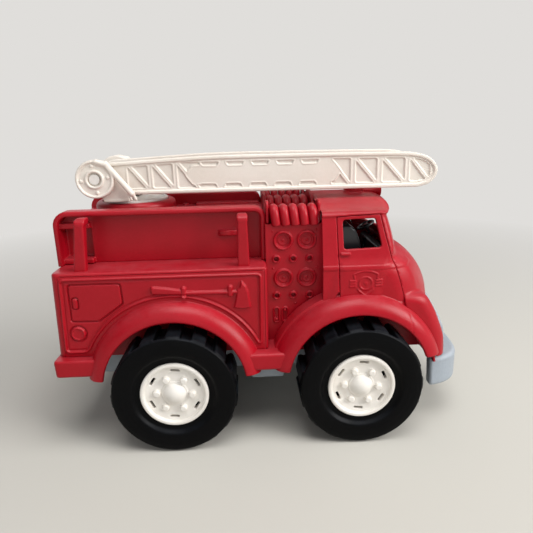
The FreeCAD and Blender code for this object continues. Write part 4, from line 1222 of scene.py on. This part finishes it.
def bumper_plan():
    """Wrap-around plan: a wide shallow bow turning back at both ends."""
    half = [(133.3, 0.0), (133.1, 12.0), (132.5, 24.0), (131.2, 36.0), (128.6, 45.0), (123.6, 52.0)]
    half = curve_through(half + [(116.0, 56.8), (105.6, 59.8)], 4)
    return half[::-1] + [(x, -y) for x, y in half[1:]]


BUMPER = outline([(90.0, 59.9)] + bumper_plan() + [(90.0, -59.9)], 0.0, 0.3)


def bumper(x, y, z):
    """Hollow bumper with rounded edges and a slot for the chassis tongue."""
    edge = BUMPER(x, y)
    tall = band(z, bumper_low[2], bumper_high[2])
    solid = crossed(edge, tall, 3.0)
    solid = crossed(solid, -8.0 - edge)
    back = 105.4 + 0.06 * (bumper_high[2] - z) - x
    hollow = crossed(crossed(edge + 2.4, tall + 2.4, 1.0), back + 2.6)
    solid = cut(solid, hollow, 0.5)
    solid = crossed(solid, back, 2.2)
    tongue = block(x, y, z, (80.0, -TONGUE_HALF - 0.2, 33.3), (TONGUE_X + 0.2, TONGUE_HALF + 0.2, 37.8))
    return cut(solid, tongue)


make_piece(
    "front_bumper",
    skin(bumper, (bumper_low[0], -60.0, bumper_low[2]), (133.5, 60.0, bumper_high[2]), 0.6),
    *GREY_PARTS, ["bumper"],
)


# ---------------------------------------------------------------- cab interior
seat_low, seat_high = box_mm("seat")
SEAT_BACK = curve_through(
    [(54.2, 136.2), (57.0, 130.6), (59.4, 124.4), (61.2, 117.6), (62.2, 110.6), (63.0, 107.0)], 4
)
SEAT = outline(
    [(37.6, 96.2), (37.6, 134.4), (48.0, 134.6), (53.0, 134.4)]
    + SEAT_BACK[3:]
    + [(74.6, 105.0), (74.8, 96.2)]
)


def seat(x, y, z):
    """Bench with a leaning back, parted in the middle behind."""
    side = np.abs(y)
    body = crossed(SEAT(x, z), side - 47.6, 1.6)
    gap = crossed(side - 1.0, 50.0 - x, 0.3)
    return cut(body, crossed(gap, 108.0 - z), 0.8)


DASH = outline(
    [(80.4, 98.0), (78.6, 106.0), (80.6, 112.6), (85.4, 112.6), (87.4, 109.0), (87.4, 98.0)],
    [0, 3, 3, 2, 2, 0],
)


def dashboard(x, y, z):
    """Panel across the cab with one round dial."""
    body = crossed(DASH(x, z), np.abs(y) - 38.0, 1.4)
    dial = np.hypot(y - 20.0, z - 106.0) - 4.6
    return cut(body, crossed(dial, x - 80.4, 0.3), 0.6)


make_piece("bench_seat", skin(seat, seat_low, seat_high + (0, 0, 2), 0.8), *BLACK_CABIN, ["seat"])
make_piece(
    "dash_panel",
    skin(dashboard, (78.2, -38.4, 98.0), (87.8, 38.4, 113.0), 0.7),
    *BLACK_CABIN, ["dashboard"],
)


# ---------------------------------------------------------------- wheels
TYRE_RADIUS = AXLE_Z
LUGS = 15
TYRE_SECTION = outline(
    [(20.6, -51.2), (29.0, -51.0), (33.0, -51.2), (35.0, -54.6), (35.0, -76.4), (37.9, -77.2), (37.9, -79.4)]
    + [(34.0, -80.0), (29.4, -80.0), (26.4, -79.4), (24.2, -77.0), (20.6, -76.4)],
    [0, 2.0, 3.0, 3.0, 0.4, 0.5, 1.3, 3.0, 2.0, 1.6, 2.0, 0],
    0.2,
)
TREAD_SECTION = outline(
    [(33.0, -52.0), (37.4, -51.8), (38.75, -54.0), (38.75, -77.6), (37.4, -78.8), (33.0, -78.8)],
    [0, 1.0, 1.5, 0.6, 0.6, 0],
    0.2,
)
WEB_SECTION = outline([(9.0, -71.4), (9.0, -69.6), (23.0, -66.0), (23.0, -71.4)], 0.3, 0.2)


def tyre(x, y, z):
    """Right-hand tyre about the origin: smooth outer wall, low carcass, a row of chunky lugs."""
    radius = np.hypot(x, z)
    angle = np.arctan2(x, z) * LUGS / (2 * math.pi)
    carcass = TYRE_SECTION(radius, y)
    carcass = carcass + 0.2 * swell((radius - 29.2) / 0.5) * (y < -70.0)
    pitch = 2 * math.pi * TYRE_RADIUS / LUGS
    tread = TREAD_SECTION(radius, y)
    across = (np.abs(np.mod(angle, 1.0) - 0.5) - 0.29) * pitch
    solid = merged(carcass, crossed(tread, across, 0.9), 0.5)
    return merged(solid, WEB_SECTION(radius, y), 0.3)


def hub(x, y, z):
    """Right-hand hub about the origin: raised rim, shallow dish, six slots, six lugs and a centre dome."""
    radius = np.hypot(x, z)
    drum = rod(x, z, y, (0.0, 0.0), 21.0, -78.2, -71.6, 1.0)
    dish_depth = -76.3 + 0.9 * ramp(15.4 - radius, 5.0)
    dish = crossed(radius - 18.4, y - dish_depth, 0.6)
    solid = cut(drum, dish, 0.9)
    solid = merged(solid, rod(x, z, y, (0.0, 0.0), 7.0, -74.0, -60.0, 0.6))
    dome = np.sqrt(np.square(radius) + np.square(y + 70.6)) - 9.0
    solid = merged(solid, crossed(dome, y + 74.0), 0.7)
    ring = np.hypot(radius - 7.6, y + 75.6) - 0.55
    solid = merged(solid, ring, 0.4)
    sector = math.pi / 3
    turn = np.arctan2(x, z)
    slot_turn = np.mod(turn + sector / 2, sector) - sector / 2
    across, along = radius * np.sin(slot_turn), radius * np.cos(slot_turn)
    slot = crossed(band(across, -2.9, 2.9), band(along, 14.9, 16.6), 0.7)
    solid = cut(solid, crossed(slot, y + 69.0), 0.3)
    lug_turn = np.mod(turn, sector) - sector / 2
    across, along = radius * np.sin(lug_turn), radius * np.cos(lug_turn)
    lug = crossed(np.hypot(across, along - 10.8) - 2.1, band(y, -78.0, -74.0), 0.8)
    solid = merged(solid, lug, 0.6)
    return cut(solid, crossed(radius - 4.05, -71.6 - y))


def turned(shape, degrees, axle_x, left):
    """A wheel part moved from the origin to its axle; the left one is the right one turned about Z."""
    points, quads = shape
    a = math.radians(degrees)
    x = points[:, 0] * math.cos(a) + points[:, 2] * math.sin(a)
    z = points[:, 2] * math.cos(a) - points[:, 0] * math.sin(a)
    y = points[:, 1]
    if left:
        x, y = -x, -y
    return np.stack([x + axle_x, y, z + AXLE_Z], 1), quads


tyre_shape = skin(tyre, (-38.8, -80.0, -38.8), (38.8, -51.0, 38.8), 0.72)
hub_shape = skin(hub, (-21.0, -79.8, -21.0), (21.0, -60.0, 21.0), 0.4)
WHEEL_TURNS = {"front": (5.0, 5.5), "rear": (14.0, 4.0)}
for end, axle_x in (("front", FRONT_X), ("rear", REAR_X)):
    tyre_turn, hub_turn = WHEEL_TURNS[end]
    for side in ("right", "left"):
        for label, shape, turn, material, slot in (
            ("tyre", tyre_shape, tyre_turn, RUBBER, "tyre_rubber"),
            ("hub", hub_shape, hub_turn, WHITE, "white_hub"),
        ):
            node = f"{end}_{label}_{side}"
            form = turned(shape, turn, axle_x, side == "left")
            make_piece(f"{end}_wheel_{label}_{side}", form, material, end + "_wheels", slot, [node])


# ---------------------------------------------------------------- turntable and pivot brackets
def turntable(x, y, z):
    """Shallow dish on a shaft."""
    spread = np.hypot(x - TURN_X, y)
    disc = crossed(spread - 21.8, band(z, 147.3, 150.5), 0.9)
    dish = crossed(spread - 19.4, 149.5 - z, 0.4)
    shaft = crossed(spread - 11.9, band(z, 132.2, 148.6), 0.6)
    return merged(cut(disc, dish, 0.5), shaft, 0.6)


make_piece(
    "ladder_turntable",
    skin(turntable, (turntable_low[0], -21.8, 132.0), (turntable_high[0], 21.8, 150.6), 0.5),
    PALE, "turntable", "pale_turntable", ["turntable"],
)

BEAM_Y = -float(beam_low[1])
BRACKET_Y = BEAM_Y + 1.2
WEB = outline([(-103.0, 150.6), (-108.0, 160.0), (-98.0, 170.0), (-87.0, 155.4), (-87.0, 150.6)], 0.8)
STRUT_Y = -(BRACKET_Y + 4.4)


def pivot_bracket(x, y, z):
    """Ringed disc at the ladder's pin, a foot on the turntable and a slanting strut."""
    out = -y
    around = np.hypot(x - PIVOT_X, z - PIVOT_Z)
    face = BRACKET_Y + 5.0
    disc = crossed(around - 12.1, band(out, BRACKET_Y, face), 0.9)
    disc = merged(disc, np.hypot(around - 11.0, out - face) - 0.95, 0.4)
    ring = crossed(cut(around - 5.9, around - 4.4), band(out, face - 1.0, face + 1.0), 0.6)
    disc = merged(disc, ring, 0.5)
    disc = cut(disc, crossed(around - 4.2, face - 1.0 - out, 0.3), 0.3)
    for k in range(4):
        a = k * math.pi / 2 - 0.12
        centre = (PIVOT_X + 8.4 * math.sin(a), PIVOT_Z + 8.4 * math.cos(a))
        disc = merged(disc, rod(x, z, out, centre, 1.0, BRACKET_Y, face + 0.7, 0.5), 0.3)
    web = crossed(WEB(x, z), band(out, BRACKET_Y, BRACKET_Y + 1.0), 0.4)
    foot = block(x, out, z, (-103.0, 8.0, 150.5), (-87.0, BRACKET_Y + 1.0, 152.0), 0.5)
    strut = capsule(x, y, z, (-98.6, STRUT_Y, 174.6), (-84.2, STRUT_Y, 156.0), 1.9)
    arm = capsule(x, y, z, (-104.4, STRUT_Y, 176.2), (-98.6, STRUT_Y, 174.6), 1.9)
    for shift in (-1.3, 1.3):
        prong = capsule(x, y, z, (-84.8 + shift, STRUT_Y, 156.0), (-83.4 + shift, STRUT_Y, 152.4), 0.95)
        strut = merged(strut, prong, 0.5)
    solid = merged(merged(disc, web, 0.6), foot, 0.8)
    solid = merged(solid, merged(strut, arm, 0.6), 0.8)
    solid = crossed(solid, 150.5 - z)
    bore = crossed(around - 3.22, out - (BRACKET_Y + 5.6))
    return cut(solid, bore)


make_pair(
    "ladder_pivot",
    skin(pivot_bracket, (-119.0, -31.8, 150.4), (-80.6, -8.0, 178.4), 0.4),
    CREAM, "turntable", "pale_turntable", ["pivot_bracket"],
)


# ---------------------------------------------------------------- ladder
def ladder_ring():
    """Outline of a ladder beam, flat below and rounded at both ends."""
    under = [(PIVOT_X - 3.5, 155.0), (PIVOT_X + 2.0, 154.6), (0.0, 154.6), (103.0, 154.6)]
    tip = [(109.6, 156.2), (114.0, 160.0), (115.8, 165.3), (113.6, 170.6), (108.6, 174.6), (100.0, 177.0)]
    top = [(88.0, 177.8), (50.0, 178.2), (-15.0, 178.4), (-44.0, 177.9), (-96.0, 175.4), (PIVOT_X, 174.8)]
    heel = [(-112.4, 172.6), (-115.6, 168.6), (-116.2, 164.6), (-114.6, 159.6), (-111.4, 156.4)]
    ring = curve_through(tip + top + heel + [under[0]], 4)
    return under[1:] + ring


LADDER = outline(ladder_ring(), 0.0, 0.2)
TRUSS_LOW, TRUSS_HIGH = 157.9, 174.3
CELLS_AT = [(-87.4, -74.4), (-71.4, -58.4), (60.9, 75.0), (78.6, 93.6), (97.0, 110.6)]
HALF_CELLS_AT = [(-55.4, -41.0, (-51.6, 169.6)), (45.0, 57.4, (53.2, 162.6))]
DASHES_AT = [-34.4 + 16.3 * k for k in range(5)]
PLATE = outline(
    [(-49.6, 166.0), (-45.6, 171.2), (46.6, 171.2), (50.6, 166.0), (46.6, 160.8), (-45.6, 160.8)], 1.0
)


def truss_cells(x, z):
    """Distance to the shallow cells sunk in the face of a ladder beam."""
    middle_z = (TRUSS_LOW + TRUSS_HIGH) / 2
    holes = EMPTY
    for x0, x1 in CELLS_AT:
        lean = (x1 - x0) / (TRUSS_HIGH - TRUSS_LOW)
        across = (x - (x0 + x1) / 2 + lean * (z - middle_z)) / math.hypot(1.0, lean)
        cell = crossed(band(x, x0, x1), band(z, TRUSS_LOW, TRUSS_HIGH), 1.8)
        cell = crossed(cell, LADDER(x, z) + 3.6, 1.0)
        holes = np.minimum(holes, cut(cell, np.abs(across) - 1.1, 0.9))
    for x0, x1, (bar_x, bar_z) in HALF_CELLS_AT:
        cell = crossed(band(x, x0, x1), band(z, TRUSS_LOW, TRUSS_HIGH), 1.2)
        cell = cut(cell, PLATE(x, z) - 1.0, 0.6)
        across = (x - bar_x) * 0.78 + (z - bar_z) * 0.62
        holes = np.minimum(holes, cut(cell, np.abs(across) - 1.1, 0.6))
    for level, way, shift in ((173.0, 1.0, 0.0), (159.0, -1.0, -1.6)):
        for centre in DASHES_AT:
            reach = np.abs(x - centre - shift) - 5.2 - 0.5 * way * (z - level)
            holes = np.minimum(holes, crossed(reach, np.abs(z - level) - 1.1, 0.5))
    return holes


def beam_drop(x, z):
    """How far the face of a ladder beam lies below its rim."""
    edge = LADDER(x, z)
    cells = truss_cells(x, z)
    drop = 0.9 * ramp(-edge - 2.4, 0.8) + 0.6 * ramp(-cells - 0.2, 0.5)
    return drop - 0.22 * ridge(cells - 0.5, 1.0) * ramp(-edge - 3.0, 0.6)


BEAM_DROP = tabled(beam_drop, (-118.0, 150.0), (118.0, 182.0), 0.15)


def ladder_beam(x, y, z):
    """Beam with sunk cells outside, hollow inside, and a bore for the pin."""
    out = -y
    edge = LADDER(x, z)
    beam = crossed(edge, band(out, BEAM_Y - 4.0, BEAM_Y), 0.9)
    beam = crossed(beam, out + BEAM_DROP(x, z) - BEAM_Y)
    beam = cut(beam, crossed(edge + 2.5, out - (BEAM_Y - 3.0), 0.3), 0.4)
    return cut(beam, np.hypot(x - PIVOT_X, z - PIVOT_Z) - 3.2, 0.2)


make_pair(
    "ladder_beam",
    skin(ladder_beam, (-116.4, -BEAM_Y, 154.4), (116.2, 4.0 - BEAM_Y, 178.6), 0.42),
    CREAM, "ladder", "cream_ladder", ["ladder_side"],
)


# ---------------------------------------------------------------- CAD parts whose shape is already right
KEPT = {
    "ladder_rungs": CREAM,
    "ladder_pin": PALE,
    "turntable_clip": PALE,
    "steering_wheel": BLACK,
    "steering_column": BLACK,
    "front_axle": GREY,
    "rear_axle": GREY,
}


def finish_kept():
    """New material, and a small rounded edge, for the CAD parts that are still shown."""
    for node, material in KEPT.items():
        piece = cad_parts[node]
        if not piece.data.materials:
            piece.data.materials.append(material)
        for slot in piece.material_slots:
            slot.material = material
        weld = piece.modifiers.new("weld", "WELD")
        weld.merge_threshold = 0.00001
        bevel = piece.modifiers.new("bevel", "BEVEL")
        bevel.width = 0.0004
        bevel.segments = 2
        bevel.limit_method = "ANGLE"
        bevel.angle_limit = math.radians(35)
        bevel.harden_normals = True


finish_kept()


# ---------------------------------------------------------------- floor and light
BACKDROP = colour("E0DEDB")


def make_floor():
    """Pale floor that fades into the backdrop colour far from the object."""
    mesh = bpy.data.meshes.new("floor")
    half = 6.0
    corners = [(-half, -half, 0), (half, -half, 0), (half, half, 0), (-half, half, 0)]
    mesh.from_pydata(corners, [], [(0, 1, 2, 3)])
    material = bpy.data.materials.new("pale_floor")
    material.use_nodes = True
    tree = material.node_tree
    shader = tree.nodes["Principled BSDF"]
    shader.inputs["Base Color"].default_value = colour("BDBAB2")
    shader.inputs["Roughness"].default_value = 0.8
    shader.inputs["Specular IOR Level"].default_value = 0.2
    place = tree.nodes.new("ShaderNodeTexCoord").outputs["Object"]
    distance = add_node(tree, "ShaderNodeVectorMath", operation="LENGTH")
    tree.links.new(place, distance.inputs[0])
    far = between(tree, distance.outputs["Value"], 0.16, 0.8)
    glow = add_node(tree, "ShaderNodeEmission", Color=BACKDROP, Strength=1.0)
    faded = mixed_shader(tree, far, shader.outputs[0], glow.outputs[0])
    tree.links.new(faded, tree.nodes["Material Output"].inputs["Surface"])
    mesh.materials.append(material)
    floor = bpy.data.objects.new("floor", mesh)
    bpy.context.scene.collection.objects.link(floor)


def area_light(name, location, target, size, power, tint):
    """Rectangular lamp aimed at a target."""
    data = bpy.data.lights.new(name, "AREA")
    data.shape = "RECTANGLE"
    data.size, data.size_y = size
    data.energy = power
    data.color = tint
    light = bpy.data.objects.new(name, data)
    light.location = location
    light.rotation_mode = "QUATERNION"
    light.rotation_quaternion = (Vector(target) - Vector(location)).to_track_quat("-Z", "Y")
    bpy.context.scene.collection.objects.link(light)


def make_light():
    """Soft daylight from the front right and above; the backdrop itself stays pale."""
    world = bpy.data.worlds.new("studio")
    bpy.context.scene.world = world
    world.use_nodes = True
    tree = world.node_tree
    ambient = tree.nodes["Background"]
    ambient.inputs[0].default_value = (0.95, 0.97, 1.0, 1.0)
    ambient.inputs[1].default_value = 0.22
    backdrop = add_node(tree, "ShaderNodeBackground", Color=BACKDROP, Strength=1.0)
    seen = tree.nodes.new("ShaderNodeLightPath").outputs["Is Camera Ray"]
    sky = mixed_shader(tree, seen, ambient.outputs[0], backdrop.outputs[0])
    tree.links.new(sky, tree.nodes["World Output"].inputs["Surface"])
    area_light("window", (1.05, -0.5, 0.7), (0.0, 0.0, 0.08), (0.75, 0.75), 17.5, (1.0, 0.99, 0.98))
    area_light("ceiling", (0.1, -0.4, 1.3), (0.0, 0.0, 0.0), (0.8, 0.8), 12.0, (1.0, 1.0, 1.0))
    area_light("fill", (-0.3, -1.5, 0.6), (0.0, 0.0, 0.08), (1.4, 1.0), 4.1, (0.97, 0.98, 1.0))
    area_light("back", (-0.9, 1.3, 0.6), (0.0, 0.0, 0.08), (1.2, 0.8), 2.5, (0.98, 0.99, 1.0))


make_floor()
make_light()
bpy.context.scene.view_settings.view_transform = "Standard"
